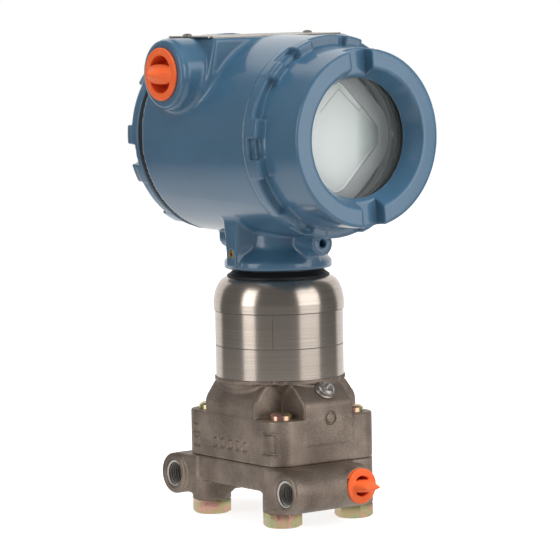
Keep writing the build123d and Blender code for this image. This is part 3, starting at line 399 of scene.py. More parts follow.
def strip(start, end, half_side, rise):
    """Straight bar with an oblong section from start to end: half_side to each side of the line
    between them, and as high as rise."""
    ring = [-half_side, half_side, half_side + rise, rise - half_side]
    points = [place + corner for place in (start, end) for corner in ring]
    walls = [(n, (n + 1) % 4, 4 + (n + 1) % 4, 4 + n) for n in range(4)]
    return np.array(points), [(3, 2, 1, 0), (4, 5, 6, 7), *walls]


def several(parts):
    """Points and faces of several shapes as one."""
    points, faces, start = [], [], 0
    for some_points, some_faces in parts:
        points.append(np.asarray(some_points))
        faces.extend((np.asarray(some_faces) + start).tolist())
        start += len(some_points)
    return np.concatenate(points), faces


# Castings


def flange_field(x, y, z):
    """Cast flange: a rounded plate, four bolt bosses on sloped webs, and on each long side a port
    bar with its shelf and a round plug boss, less the plug ports and the vent holes."""
    v = y - MIDDLE_Y
    ax, av = np.abs(x), np.abs(v)
    plate = rounded_plate(x, v, BLOCK_X, BLOCK_Y, BLOCK_CORNER)
    body = rounded_meet(plate, between(z, 17.6, Z_JOINT), 0.7)
    foot, top = 7.0, 20.0
    boss = post(ax - BOLT_X, av - BOLT_Y, z, BLOCK_CORNER, foot, top, 0.8)
    web = np.maximum(-0.529 * (ax - BOLT_X) - 0.849 * (z - foot), between(ax, 4.0, 24.0))
    side = np.maximum(np.abs(av - BOLT_Y) - BLOCK_CORNER, between(z, 6.0, top))
    body = join(body, join(boss, common(web, side, 1.0), 1.0), 2.0)
    bar = post(av - BAR_Y, z - BAR_Z, x, 10.3, BAR_LEFT, 14.8, 1.5)
    shelf = rounded_meet(between(av, 28.0, BAR_Y), between(z, 10.3, Z_JOINT - 0.7), 1.0)
    shelf = rounded_meet(shelf, between(x, -32.4, 13.4), 1.0)
    body = join(body, join(bar, shelf, 1.2), 1.6)
    body = join(body, post(x - PORT_X, z - PORT_Z, av, 9.1, 41.0, PORT_FACE, 0.6), 1.6)
    body = cut(body, post(x - PORT_X, z - PORT_Z, av, 6.6, 38.5, 60.0, 0.01), 0.3)
    vent = np.hypot(av - BAR_Y, z - BAR_Z) - VENT_RADIUS - np.maximum(-33.1 - x, 0)
    return cut(body, np.maximum(vent, between(x, -60.0, -20.0)), 0.3)


def base_field(x, y, z):
    """Cast base: a rounded block, two crossed arms with sloped ends, and a cone up to the neck
    ring, less the bolt holes and shallow grooves: three oblongs and five rings on the left face,
    and a ring on the front face."""
    v = y - MIDDLE_Y
    ax, av = np.abs(x), np.abs(v)
    plate = rounded_plate(x, v, BLOCK_X, BLOCK_Y, BLOCK_CORNER)
    body = rounded_meet(plate, between(z, Z_JOINT, 53.0), 1.0)
    arm_top = 68.9
    arms = ((BLOCK_X, av, ax, 21.2, 0.80, 0.60), (BLOCK_Y, ax, av, 15.0, 0.691, 0.723))
    for half, across, along, side, out, up in arms:
        lean = out * (along - half) + up * (z - 60.0)
        arm = common(np.maximum(along - half, between(z, 40.0, arm_top)), lean, 1.6)
        body = join(body, rounded_meet(arm, across - side, 1.2), 0.8)
    radius = np.hypot(x, v)
    cone = np.maximum(0.819 * (radius - 26.0 - 0.701 * (z - 60.0)), between(z, 45.0, 69.0))
    corner = (ax + av - 36.2 - 0.92 * (z - 61.0)) / 1.69
    body = join(body, np.maximum(np.maximum(corner, cone), radius - 32.2), 1.4)
    body = join(body, post(x, v, z, 32.6, arm_top, Z_CAN, 0.3), 0.8)
    body = np.maximum(body, z - Z_CAN)
    skin = np.abs(plate) - 0.7
    oblongs = ((-31.0, 5.2, 6.0, 17.0), (29.2, 3.2, 4.6, 10.2), (29.2, 3.2, 11.2, 16.8))
    for middle, half, low, high in oblongs:
        whole = np.maximum(np.abs(v - middle) - half, between(z, Z_JOINT + low, Z_JOINT + high))
        groove = np.maximum(np.maximum(whole, -whole - 1.3), np.maximum(skin, x))
        body = cut(body, groove, 0.4)
    for n in range(5):
        ring = np.abs(np.hypot(v - 13.3 + 6.27 * n, z - 38.5) - 2.3) - 0.55
        body = cut(body, np.maximum(ring, np.maximum(skin, x)), 0.4)
    ring = np.abs(np.hypot(x - 0.7, z - Z_JOINT - 22.2) - 2.9) - 0.45
    body = cut(body, np.maximum(ring, np.maximum(skin, v)), 0.3)
    return cut(body, post(ax - BOLT_X, av - BOLT_Y, z, 5.85, 25.0, 80.0, 0.01), 0.3)


def housing_field(x, y, z):
    """Cast housing: a drafted barrel, a flat-topped pad across it with sloped ends and conduit
    bosses, and a turned neck with ribs and a boss bar, less its rooms and holes."""
    v = y - MIDDLE_Y
    ax, h = np.abs(x), z - Z_AXIS
    radius = np.hypot(x, h)
    front, back = -39.5, 45.1
    body = rounded_meet(radius - 49.0 - (v - front) * 0.0118, between(v, front, back), 0.5)

    # Pad and conduit bosses
    vc, hc = v - CONDUIT_Y, z - CONDUIT_Z
    pad_half, boss_radius = 21.5, 16.75
    wide = pad_half - np.maximum(ax - 40.0, 0) * 0.293
    around = np.hypot(vc, np.minimum(hc, 0)) - wide
    lean = 0.978 * (ax - 40.0) + 0.208 * (z - Z_PAD_TOP)
    low_share = np.clip(0.2 - hc / 14.0, 0, 1)
    flare = np.hypot(vc, hc) - boss_radius
    flare = flare - (wide - boss_radius) * low_share**2 * (3 - 2 * low_share)
    pad = join(common(around, lean, 1.2), np.maximum(0.95 * flare, ax - 54.0), 2.5)
    pad = common(pad, z - Z_PAD_TOP, 1.4)
    boss = post(vc, hc, ax, boss_radius, 20.0, CONDUIT_REACH, 1.4)
    step = post(vc, hc, ax, 17.6, 20.0, CONDUIT_REACH - 3.2, 0.8)
    body = join(body, join(pad, join(boss, step, 0.6), 1.0), 2.4)
    flat = np.maximum(np.maximum(Z_PAD_TOP - z, np.abs(vc) - pad_half), between(x, -60.0, 60.0))
    body = cut(body, flat, 0.4)

    # Neck with its ribs, and the boss bar on its web
    around = np.hypot(x, v)
    foot = post(x, v, z, 26.8, Z_HOUSING, Z_HOUSING + 4.0, 0.8)
    lean = 0.60 * (around - 19.5) + 0.8 * (z - Z_HOUSING - 9.5)
    cone = np.maximum(np.maximum(lean, between(z, Z_HOUSING + 1, 150.0)), around - 26.0)
    neck = join(foot, join(cone, post(x, v, z, 18.0, Z_HOUSING, 152.0, 0.01), 2.0), 0.8)
    wide = 4.2 + 2.1 * np.clip((z - 133.0) / 17.6, 0, 1)
    rib = rounded_meet(np.abs(v) - wide, ax - 29.0, 1.0)
    neck = join(neck, np.maximum(rib, between(z, Z_HOUSING + 2.0, 156.0)), 1.6)
    web_half = 24.0 + 0.614 * (z - Z_HOUSING - 2.0)
    web = np.maximum(np.abs(x - BOSS_X) - 4.0, 0.85 * (np.abs(v) - web_half))
    neck = join(neck, np.maximum(web, between(z, Z_HOUSING + 2.0, Z_HOUSING + 13.4)), 2.0)
    bar = post(x - BOSS_X, z - Z_HOUSING - BOSS_UP, v, 5.9, -34.5, 44.9, 0.6)
    body = join(body, join(neck, bar, 1.4), 2.0)
    ends = post(x - BOSS_X, z - Z_HOUSING - 13.4, np.abs(v - 5.2), 2.0, 27.7, 60.0, 0.01)
    body = cut(body, ends, 0.2)

    # Rooms, each bore with its radius, its start, its end and its edge
    rooms = post(x, h, v, 40.0, -60.0, -4.0, 0.5)
    for bore_radius, low, high, edge in (
        (41.5, 1.0, 60.0, 0.5),
        (44.0, -60.0, -25.5, 0.2),
        (46.0, -60.0, -37.5, 0.2),
        (44.0, 31.1, 60.0, 0.2),
    ):
        rooms = np.minimum(rooms, post(x, h, v, bore_radius, low, high, edge))
    body = cut(body, rooms, 0.4)
    body = cut(body, post(vc, hc, ax, 10.65, 0.0, 70.0, 0.01), 0.6)
    return cut(body, post(v, z - Z_HOUSING - 8.2, -x, 2.1, 15.0, 40.0, 0.01), 0.2)


# Sizes of the two kinds of plug, in millimetres
CONDUIT_PLUG = dict(
    flange=1.5, radius=13.0, groove=0.0, shank=10.3, length=15.0, pocket=9.2,
    tip=8.3, wide_face=10.2, wide_tip=1.2, thick=4.9, bulge=0.0,
)
PROCESS_PLUG = dict(
    flange=3.0, radius=8.65, groove=0.9, shank=6.25, length=12.0, pocket=4.95,
    tip=11.5, wide_face=6.0, wide_tip=4.3, thick=3.0, bulge=0.8,
)


def plug_field(across, up, out, flange, radius, groove, shank, length, pocket, tip, wide_face,
               wide_tip, thick, bulge):
    """Moulded plug: flange, tapered shank, round pocket, and a finger tab across it. The tab's
    section is a superellipse whose half width and half thickness shrink from the flange's face to
    the tip, the thickness as a rounded nose where the bulge is over nothing."""
    radial = np.hypot(across, up)
    body = post(across, up, out, radius, 0.0, flange, 0.5)
    if groove:
        body = cut(body, np.maximum(radius - groove - radial, between(out, 1.0, 1.9)), 0.15)
    taper = shank + 0.5 * np.clip(out / length, -1, 0)
    body = join(body, rounded_meet(radial - taper, between(out, -length, 0.5), 0.4), 0.3)
    body = cut(body, post(across, up, out, pocket, -8.0, flange + 20.0, 0.8), 0.6)
    share = np.clip((out - flange) / (tip - flange), 0, 1)
    wide = wide_face + (wide_tip - wide_face) * share
    nose = bulge * (1 - share**2) ** 0.75 + (1 - bulge) * (1 - share)
    half = 0.4 + (thick - 0.4) * nose
    power = 2.6
    section = ((np.abs(across) / wide) ** power + (np.abs(up) / half) ** power) ** (1 / power) - 1
    blade = np.maximum(section * half * 0.9, between(out, -8.6, tip))
    blade = np.maximum(blade, np.where(out < flange, radial - pocket - 0.6, -1.0))
    return join(body, blade, 0.9)


def lug_angle(x, u, turn):
    """Angle from the middle of the nearest of six lug clusters, in radians."""
    sixth = math.pi / 3
    return (np.arctan2(u, x) - math.radians(turn) + sixth / 2) % sixth - sixth / 2


def rim_field(x, u, t, height, turn):
    """Castellated rim: a disc, six raised clusters, and a spanner notch through each."""
    radius = np.hypot(x, u)
    angle = np.abs(lug_angle(x, u, turn))
    body = rounded_meet(radius - RIM_RADIUS, between(t, 0.0, height), 0.8)
    cluster = rounded_meet(radius - RIM_RADIUS, between(t, 0.0, height + 3.6), 0.8)
    cluster = rounded_meet(cluster, (angle - math.radians(17.5)) * radius, 0.8)
    body = join(body, np.maximum(cluster, 42.0 - radius), 0.8)
    notch = (angle - math.radians(6.0)) * radius
    gap = np.maximum(notch, np.maximum(height - t, 44.6 - radius))
    low = np.maximum(notch, np.maximum(height - 2.9 - t, 46.9 - radius))
    return cut(cut(body, gap, 0.5), low, 0.5)


def wrench_slots(x, u, t, floor, inner):
    """Two slots in line across a cover's face, from a floor up and from an inner distance out."""
    along = x * math.cos(WRENCH_TURN) + u * math.sin(WRENCH_TURN)
    aside = x * math.sin(WRENCH_TURN) - u * math.cos(WRENCH_TURN)
    return np.maximum(np.abs(aside) - 6.35, np.maximum(floor - t, inner - np.abs(along)))


def front_field(x, u, t):
    """Front cover: the rim, a tapered nose with two wrench slots, a thread skirt, and the window's
    cone and seat bored through."""
    radius = np.hypot(x, u)
    rim = 6.9
    nose = rounded_meet(radius - 44.4 + (t - rim) * 0.0526, between(t, -12.0, NOSE_REACH), 1.0)
    nose = np.maximum(nose, radius - SKIRT_RADIUS - np.maximum(t + 0.6, 0) * 9)
    body = join(rim_field(x, u, t, rim, 4.5), nose, 0.8)
    seat, window = 24.5, 29.0
    bore = np.maximum(radius - SKIRT_BORE, between(t, -20.0, 4.0))
    bore = np.minimum(bore, np.maximum(radius - 36.6, between(t, -20.0, seat)))
    bore = np.minimum(bore, radius - window)
    flare = 0.874 * (radius - window - (t - 25.5) * 0.5556)
    bore = np.minimum(bore, np.maximum(flare, 20.0 - t))
    return cut(cut(body, bore, 0.7), wrench_slots(x, u, t, 27.8, 28.0), 0.7)


def back_field(x, u, t):
    """Rear cover: the same rim round a shallow dish with two wrench slots and a thread skirt."""
    radius = np.hypot(x, u)
    body = rim_field(x, u, t, 5.9, -11.25)
    disc = rounded_meet(radius - 44.4, between(t, -1.0, DISH_REACH), 1.2)
    skirt = np.maximum(radius - SKIRT_RADIUS, between(t, -15.8, 4.0))
    body = join(body, np.minimum(disc, skirt), 0.8)
    body = cut(body, np.maximum(radius - SKIRT_BORE, between(t, -30.0, 4.5)), 0.5)
    body = cut(body, rounded_meet(radius - 34.0, 8.0 - t, 0.3), 0.8)
    return cut(body, wrench_slots(x, u, t, 6.0, 32.0), 0.6)


# Colours and finishes


def linear(code):
    """Linear colour with full opacity from an sRGB hex code."""
    parts = [int(code[i : i + 2], 16) / 255 for i in (1, 3, 5)]
    return (*(c / 12.92 if c <= 0.04045 else ((c + 0.055) / 1.055) ** 2.4 for c in parts), 1.0)


def add(tree, kind, sockets=None, **settings):
    """A node of that kind with its settings, its sockets given a value or another node's output."""
    made_node = tree.nodes.new(kind)
    for name, value in settings.items():
        setattr(made_node, name, value)
    for socket, value in (sockets or {}).items():
        if isinstance(value, bpy.types.NodeSocket):
            tree.links.new(value, made_node.inputs[socket])
        else:
            made_node.inputs[socket].default_value = value
    return made_node


def new_finish(name, **values):
    """A material with a principled surface, its node tree, its surface and its object place."""
    material = bpy.data.materials.new(name)
    material.use_nodes = True
    tree = material.node_tree
    surface = tree.nodes["Principled BSDF"]
    for socket, value in values.items():
        surface.inputs[socket.replace("_", " ")].default_value = value
    place = tree.nodes.new("ShaderNodeTexCoord").outputs["Object"]
    return material, tree, surface, place


def coloured(tree, surface, factor, stops):
    """Base colour by a factor: each stop is a position and an sRGB hex code."""
    made_node = add(tree, "ShaderNodeValToRGB", {"Fac": factor})
    bar = made_node.color_ramp.elements
    while len(bar) < len(stops):
        bar.new(0.5)
    for element, (position, code) in zip(bar, stops):
        element.position = position
        element.color = linear(code)
    tree.links.new(made_node.outputs["Color"], surface.inputs["Base Color"])


def noise(tree, place, size_mm, detail=3.0, stretch=(1, 1, 1)):
    """Noise with features of about a real size in millimetres, stretched along the axes."""
    moved = add(tree, "ShaderNodeMapping", {"Vector": place, "Scale": stretch}).outputs["Vector"]
    sockets = {"Vector": moved, "Scale": 1 / (size_mm * MM), "Detail": detail}
    return add(tree, "ShaderNodeTexNoise", sockets).outputs["Fac"]


def ranged(tree, value, start, end, low=0.0, high=1.0):
    """A level that goes from low to high as a value goes from start to end."""
    sockets = {"Value": value, "From Min": start, "From Max": end, "To Min": low, "To Max": high}
    return add(tree, "ShaderNodeMapRange", sockets).outputs["Result"]


def bumped(tree, surface, height, depth_mm, strength):
    """Bump from a height, of a real depth in millimetres."""
    sockets = {"Height": height, "Distance": depth_mm * MM, "Strength": strength}
    made_node = add(tree, "ShaderNodeBump", sockets)
    tree.links.new(made_node.outputs["Normal"], surface.inputs["Normal"])


def blue_enamel():
    """Glossy polyurethane enamel sprayed on die-cast aluminium: an even deep colour, a faint
    orange peel about 1.4 mm across, and clear reflections."""
    material, tree, surface, place = new_finish(
        "blue_enamel", Roughness=0.4, Coat_Weight=0.8, Coat_Roughness=0.1
    )
    coloured(tree, surface, noise(tree, place, 22.0), [(0.3, "#3C607A"), (0.7, "#406681")])
    bumped(tree, surface, noise(tree, place, 1.4, 2.0), 0.02, 0.5)
    return material


def cast_stainless():
    """Investment-cast stainless steel, bead blasted: a warm dull grey with fine pitting that
    scatters light."""
    material, tree, surface, place = new_finish("cast_stainless", Metallic=0.85, Roughness=0.5)
    broad = noise(tree, place, 16.0, 4.0)
    fine = noise(tree, place, 0.55, 4.0)
    mixed = add(tree, "ShaderNodeMix", {"Factor": 0.45, 2: broad, 3: fine}, data_type="FLOAT")
    stops = [(0.34, "#73665D"), (0.5, "#8F8175"), (0.66, "#AB9B8E")]
    coloured(tree, surface, mixed.outputs[0], stops)
    bumped(tree, surface, fine, 0.09, 0.8)
    return material


def brushed_steel(name, code_low, code_high, roughness):
    """Stainless steel brushed round its axis: hair-fine lines about 0.3 mm apart that stretch a
    highlight across them."""
    material, tree, surface, place = new_finish(
        name, Metallic=1.0, Roughness=roughness, Anisotropic=0.75
    )
    lines = noise(tree, place, 60.0, 4.0, (1, 1, 200))
    coloured(tree, surface, lines, [(0.35, code_low), (0.65, code_high)])
    bumped(tree, surface, lines, 0.002, 0.5)
    tangent = add(tree, "ShaderNodeTangent", direction_type="RADIAL", axis="Z")
    tree.links.new(tangent.outputs["Tangent"], surface.inputs["Tangent"])
    surface.inputs["Anisotropic Rotation"].default_value = 0.25
    return material


def machined_steel():
    """Turned or rolled bright steel, lightly scratched."""
    material, tree, surface, place = new_finish("machined_steel", Metallic=1.0, Roughness=0.34)
    coloured(tree, surface, noise(tree, place, 3.0, 4.0), [(0.3, "#B4ADA6"), (0.7, "#CFC9C2")])
    bumped(tree, surface, noise(tree, place, 0.4, 3.0), 0.003, 0.4)
    return material


def yellow_zinc():
    """Yellow-passivated zinc plate: straw gold that drifts to green, pink and brown where the
    film's thickness changes."""
    material, tree, surface, place = new_finish("yellow_zinc", Metallic=1.0, Roughness=0.3)
    green, straw, gold = (0.3, "#A3B98F"), (0.42, "#C9C293"), (0.5, "#CBB48A")
    pink, brown = (0.6, "#E8B3A3"), (0.72, "#A0775A")
    coloured(tree, surface, noise(tree, place, 7.0, 2.0), [green, straw, gold, pink, brown])
    bumped(tree, surface, noise(tree, place, 0.8, 3.0), 0.02, 0.5)
    return material


def moulded(name, code_low, code_high, roughness, grain_mm, depth_mm, **values):
    """Moulded plastic or rubber: one colour with a slight mottle and a fine spark grain."""
    material, tree, surface, place = new_finish(name, Roughness=roughness, **values)
    coloured(tree, surface, noise(tree, place, 9.0, 3.0), [(0.3, code_low), (0.7, code_high)])
    bumped(tree, surface, noise(tree, place, grain_mm, 3.0), depth_mm, 0.6)
    return material


def clear(name, tint, roughness, opacity):
    """Clear glass or polycarbonate: light goes through but for its gloss and a faint tint."""
    material, tree, surface, place = new_finish(name, Roughness=roughness, Alpha=opacity)
    surface.inputs["Base Color"].default_value = linear(tint)
    bumped(tree, surface, noise(tree, place, 12.0, 1.0), 0.004, 0.2)
    return material


def crystal_face_painted_shade():
    """Reflective liquid-crystal face: pale mint with painted shade that falls to grey towards its
    right corner, standing in for the shading under the lens's curved edge."""
    material, tree, surface, place = new_finish("crystal_face_painted_shade", Roughness=0.5)
    side = add(tree, "ShaderNodeSeparateXYZ", {"Vector": place}).outputs["X"]
    # Painted shade: the mint darkens to grey from 13 mm to 26 mm right of the face's middle
    share = ranged(tree, side, 13.0 * MM, 26.0 * MM)
    coloured(tree, surface, share, [(0.0, "#FAFFFC"), (0.35, "#D2DDD8"), (1.0, "#8D9390")])
    return material


def circuit_laminate():
    """Solder mask over copper tracks: deep green with lighter lines 0.8 mm apart."""
    material, tree, surface, place = new_finish("circuit_laminate", Roughness=0.4)
    moved = add(tree, "ShaderNodeMapping", {"Vector": place, "Rotation": (0, 0, 0.78)})
    sockets = {"Vector": moved.outputs["Vector"], "Scale": 1 / (3.2 * MM)}
    lines = add(tree, "ShaderNodeTexBrick", sockets).outputs["Fac"]
    coloured(tree, surface, lines, [(0.2, "#1F4A2C"), (0.8, "#2F6B3E")])
    return material


FINISH = {}

# Nodes with a finish of their own, where the others have their slot's
OWN_FINISH = {"sensor_can": "can_steel", "dome_cap": "can_steel", "tag_plate": "tag_steel"}


def prepare_finishes():
    """Every finish of the object, by the record's slot or by its own name."""
    FINISH.update(
        {
            "cast_steel": cast_stainless(),
            "zinc_steel": yellow_zinc(),
            "brushed_steel": machined_steel(),
            "can_steel": brushed_steel("brushed_can", "#B5AAA0", "#C1B6AB", 0.24),
            "tag_steel": brushed_steel("rolled_tag", "#B9B1A8", "#CBC4BB", 0.35),
            "blue_paint": blue_enamel(),
            "brass_screw": moulded(
                "passivated_brass", "#A98D55", "#C2A56A", 0.3, 0.5, 0.01, Metallic=1.0
            ),
            "black_rubber": moulded("nitrile_rubber", "#0E0E0F", "#1A1A1B", 0.55, 0.5, 0.02),
            "black_plastic": moulded("black_nylon", "#141415", "#212123", 0.45, 0.4, 0.02),
            "grey_plastic": moulded("grey_polycarbonate", "#7E7F7F", "#8A8B8B", 0.5, 0.4, 0.01),
            "thread_steel": moulded(
                "cut_thread", "#C9C3BB", "#DAD5CE", 0.38, 0.4, 0.004, Metallic=0.6
            ),
            # Dark grey of the can's etched lines, also used as painted shade on the tubes inside
            # the vent holes
            "etched_line_and_bore_shade": moulded("etched_line_and_bore_shade", "#4F4842", "#5A524B", 0.6, 0.4, 0.004),
            "film_line": moulded("film_line", "#6B7672", "#76807C", 0.6, 0.4, 0.004),
            "circuit_board": circuit_laminate(),
            "display": moulded("crystal_panel", "#C3D1C9", "#CAD6CF", 0.35, 3.0, 0.002),
            "display_face": crystal_face_painted_shade(),
            "lens_rim": clear("lens_rim", "#CDCFD2", 0.25, 0.65),
            "clear_plastic": clear("clear_polycarbonate", "#D5DAD8", 0.08, 0.12),
            "window_glass": clear("tempered_glass", "#E6F0EE", 0.03, 0.06),
            "orange_plastic": moulded(
                "orange_polyethylene", "#EC6431", "#F2703A", 0.5, 0.8, 0.02, Specular_IOR_Level=0.25
            ),
        }
    )


class TransmitterLooks(bpy.types.PropertyGroup):
    """Sizes and levels that a user would change."""

    skin_step: bpy.props.FloatProperty(
        name="Casting grid",
        description="Spacing of a casting's skin points",
        default=1.0 * MM,
        unit="LENGTH",
    )
    lens: bpy.props.FloatProperty(name="Lens", description="Camera lens, in mm", default=206.3)
    key_power: bpy.props.FloatProperty(
        name="Key light", description="Power of the left soft box", default=3.3
    )
    top_power: bpy.props.FloatProperty(
        name="Top light", description="Power of the box above", default=40.0
    )
    fill_power: bpy.props.FloatProperty(
        name="Fill light", description="Power of the right soft box", default=4.3
    )


class TRANSMITTER_OT_castings(bpy.types.Operator):
    """Make the skins of the flange, the base and the housing"""

    bl_idname = "transmitter.castings"
    bl_label = "Castings"

    def execute(self, context):
        step = context.scene.transmitter_looks.skin_step / MM
        for name, node, field, share, body, slot in (
            ("flange", "coplanar_flange", flange_field, 0.7, "module", "cast_steel"),
            ("base", "module_base", base_field, 0.55, "module", "cast_steel"),
            ("housing", "housing", housing_field, 1.0, "housing_body", "blue_paint"),
        ):
            points, faces = cast_skin(field, *span(node), share * step)
            made(f"{name}_casting", points, faces, FINISH[slot], body, slot, [node], smooth=0)
        return {"FINISHED"}


class TRANSMITTER_OT_covers(bpy.types.Operator):
    """Make the two threaded covers"""

    bl_idname = "transmitter.covers"
    bl_label = "Covers"

    def execute(self, context):
        step = 0.8 * context.scene.transmitter_looks.skin_step / MM
        for name, field, low, high, joint, direction in (
            ("front", front_field, -12, NOSE_REACH, FRONT_JOINT, "-Y"),
            ("rear", back_field, -15.8, DISH_REACH, REAR_JOINT, "+Y"),
        ):
            points, faces = cast_skin(field, (-50, -50, low), (50, 50, high), step)
            points = placed(points, (0, joint, Z_AXIS), direction)
            made(f"{name}_cover_casting", points, faces, FINISH["blue_paint"],
                 f"{name}_cover_body", "blue_paint", [f"{name}_cover"], smooth=0)
        return {"FINISHED"}


class TRANSMITTER_OT_plugs(bpy.types.Operator):
    """Make the four push-in plugs"""

    bl_idname = "transmitter.plugs"
    bl_label = "Plugs"

    def execute(self, context):
        step = 0.4 * context.scene.transmitter_looks.skin_step / MM
        low, high = (-13.5, -13.5, -15.5), (13.5, 13.5, 8.8)
        conduit = cast_skin(lambda x, y, t: plug_field(y, x, t, **CONDUIT_PLUG), low, high, step)
        low, high = (-9.2, -9.2, -12.5), (9.2, 9.2, 12.0)
        process = cast_skin(
            lambda x, y, t: plug_field(x, y, t, **PROCESS_PLUG), low, high, 0.8 * step
        )
        side, end = CONDUIT_REACH + PLUG_GAP, PORT_FACE + PLUG_GAP
        for kind, name, (points, faces), place, direction in (
            ("conduit", "left", conduit, (-side, MIDDLE_Y + CONDUIT_Y, CONDUIT_Z), "-X"),
            ("conduit", "right", conduit, (side, MIDDLE_Y + CONDUIT_Y, CONDUIT_Z), "+X"),
            ("process", "front", process, (PORT_X, MIDDLE_Y - end, PORT_Z), "-Y"),
            ("process", "rear", process, (PORT_X, MIDDLE_Y + end, PORT_Z), "+Y"),
        ):
            made(f"{kind}_plug_{name}_moulding", placed(points, place, direction), faces,
                 FINISH["orange_plastic"], f"plug_{name}", "orange_plastic",
                 [f"{kind}_plug_{name}"], smooth=0)
        return {"FINISHED"}


def can_lines():
    """A ring line, the seam under the dome and a short upright line, each just proud of the can."""
    inner, proud = CAN_RADIUS - 0.3, CAN_RADIUS + 0.03
    bands = []
    for low, high in ((86.2, 86.6), (Z_DOME - 0.45, Z_DOME - 0.02)):
        section = [(inner, low), (proud, low), (proud, high), (inner, high), (inner, low)]
        bands.append(turned(np.array(section), 160))
    a = math.radians(-42.7)
    out = np.array((math.sin(a), -math.cos(a), 0))
    side = np.array((math.cos(a), math.sin(a), 0))
    foot, top = out * inner, out * (CAN_RADIUS + 0.04)
    upright = strip(foot + (0, 0, 86.8), foot + (0, 0, 101.6), side * 0.2, top - foot)
    points, faces = several([*bands, upright])
    return points + np.array((0, MIDDLE_Y, 0)), faces


class TRANSMITTER_OT_small_parts(bpy.types.Operator):
    """Make the vent and cover threads, the painted shade inside the vent holes, the can's lines,
    the eased fasteners and the tag
    """

    bl_idname = "transmitter.small_parts"
    bl_label = "Small parts"

    def execute(self, context):
        threads, walls = [], []
        for side in (-1, 1):
            mouth = (BAR_LEFT, MIDDLE_Y + side * BAR_Y, BAR_Z)
            points, faces = spiral(VENT_RADIUS, 5.5, VENT_PITCH, -13.0, -0.6)
            threads.append((placed(points, mouth, "-X"), faces))
            # A dark tube just inside each vent hole, behind the thread: painted shade for the depth
            # of the hole
            wall = [(6.62, -1.0), (6.5, -1.0), (6.5, -13.4), (6.62, -13.4), (6.62, -1.0)]
            points, faces = turned(np.array(wall), 64)
            walls.append((placed(points, mouth, "-X"), faces))
        made("vent_bore_shade", *several(walls), FINISH["etched_line_and_bore_shade"], "module", "cast_steel")
        made("vent_threads", *several(threads), FINISH["thread_steel"], "module", "cast_steel")
        for name, direction, low, joint in (
            ("front", "-Y", -11.6, FRONT_JOINT),
            ("rear", "+Y", -15.4, REAR_JOINT),
        ):
            points, faces = spiral(43.2, 43.9, COVER_PITCH, low, -1.2, 96)
            made(f"{name}_cover_thread", placed(points, (0, joint, Z_AXIS), direction), faces,
                 FINISH["brushed_steel"], f"{name}_cover_body", "blue_paint")
        made("can_lines", *can_lines(), FINISH["etched_line_and_bore_shade"], "module", "brushed_steel")
        for node, width in (
            ("flange_bolts", 0.35),
            ("ground_screw", 0.3),
            ("ground_washer", 0.4),
            ("tag_plate", 0.2),
            ("tag_screws", 0.3),
            ("rotation_set_screw", 0.2),
        ):
            softened(node, width)
        return {"FINISHED"}


class TRANSMITTER_OT_window(bpy.types.Operator):
    """Make the display's face, its film edge, the lens's bevelled rim and the meter's bezel"""

    bl_idname = "transmitter.window"
    bl_label = "Window"

    def execute(self, context):
        middle = (0.0, span("display_panel")[0][1], Z_AXIS)
        c, s = math.cos(math.radians(45)), math.sin(math.radians(45))
        turn = np.array([(c, s), (-s, c)])
        face = stepped(squared(21.9, 9.5) @ turn, [(0.0, -0.05), (0.0, 0.25), (0.2, 0.35)])
        outer, inner = squared(30.0, 21.0) @ turn, squared(22.1, 9.7) @ turn
        section = ((outer, 0.1), (outer, 0.6), (inner, 1.4), (inner, 0.1), (outer, 0.1))
        points = np.stack([at_height(outline, height) for outline, height in section], 1)
        rim = points.reshape(-1, 3), grid_faces(len(outer), len(section), True)
        outline = [(34.0, -3.0), (34.0, 0.2), (35.0, 3.9), (36.0, 3.9), (36.0, -3.0), (34.0, -3.0)]
        bezel = turned(eased(outline, 0.3))
        bends = [(-8.5, 12.2), (3.2, 23.2), (15.4, 12.1), (17.0, 13.5)]
        lines = []
        for start, end in zip(bends[:-1], bends[1:]):
            start, end = np.array((*start, 0.3)), np.array((*end, 0.3))
            aside = np.cross((0, 0, 1), (end - start) / np.linalg.norm(end - start))
            lines.append(strip(start, end, aside * 0.13, np.array((0, 0, 0.12))))
        for name, (points, faces), finish, node, slot in (
            ("display_face", face, "display_face", "display_panel", "display"),
            ("lens_rim", rim, "lens_rim", "display_lens", "clear_plastic"),
            ("display_bezel", bezel, "grey_plastic", "display_body", "grey_plastic"),
            ("film_edge", several(lines), "film_line", "display_panel", "display"),
        ):
            made(name, placed(points, middle, "-Y"), faces, FINISH[finish],
                 frame["nodes"][node]["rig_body"], slot)
        return {"FINISHED"}


class TRANSMITTER_OT_carried_nodes(bpy.types.Operator):
    """Give each node of the frame that still shows its finish"""

    bl_idname = "transmitter.carried_nodes"
    bl_label = "Carried nodes"

    def execute(self, context):
        for part in frame["record"]["subparts"]:
            mesh = frame["nodes"][part["node"]].data
            mesh.materials.clear()
            mesh.materials.append(FINISH[OWN_FINISH.get(part["node"], part["material_slot"])])
        return {"FINISHED"}


# The camera fitted to the photo: turn, rise and roll in degrees, and distance in millimetres
VIEW_TURN, VIEW_RISE, VIEW_ROLL = -36.814, 5.385, -1.052
VIEW_DISTANCE = 1600.744


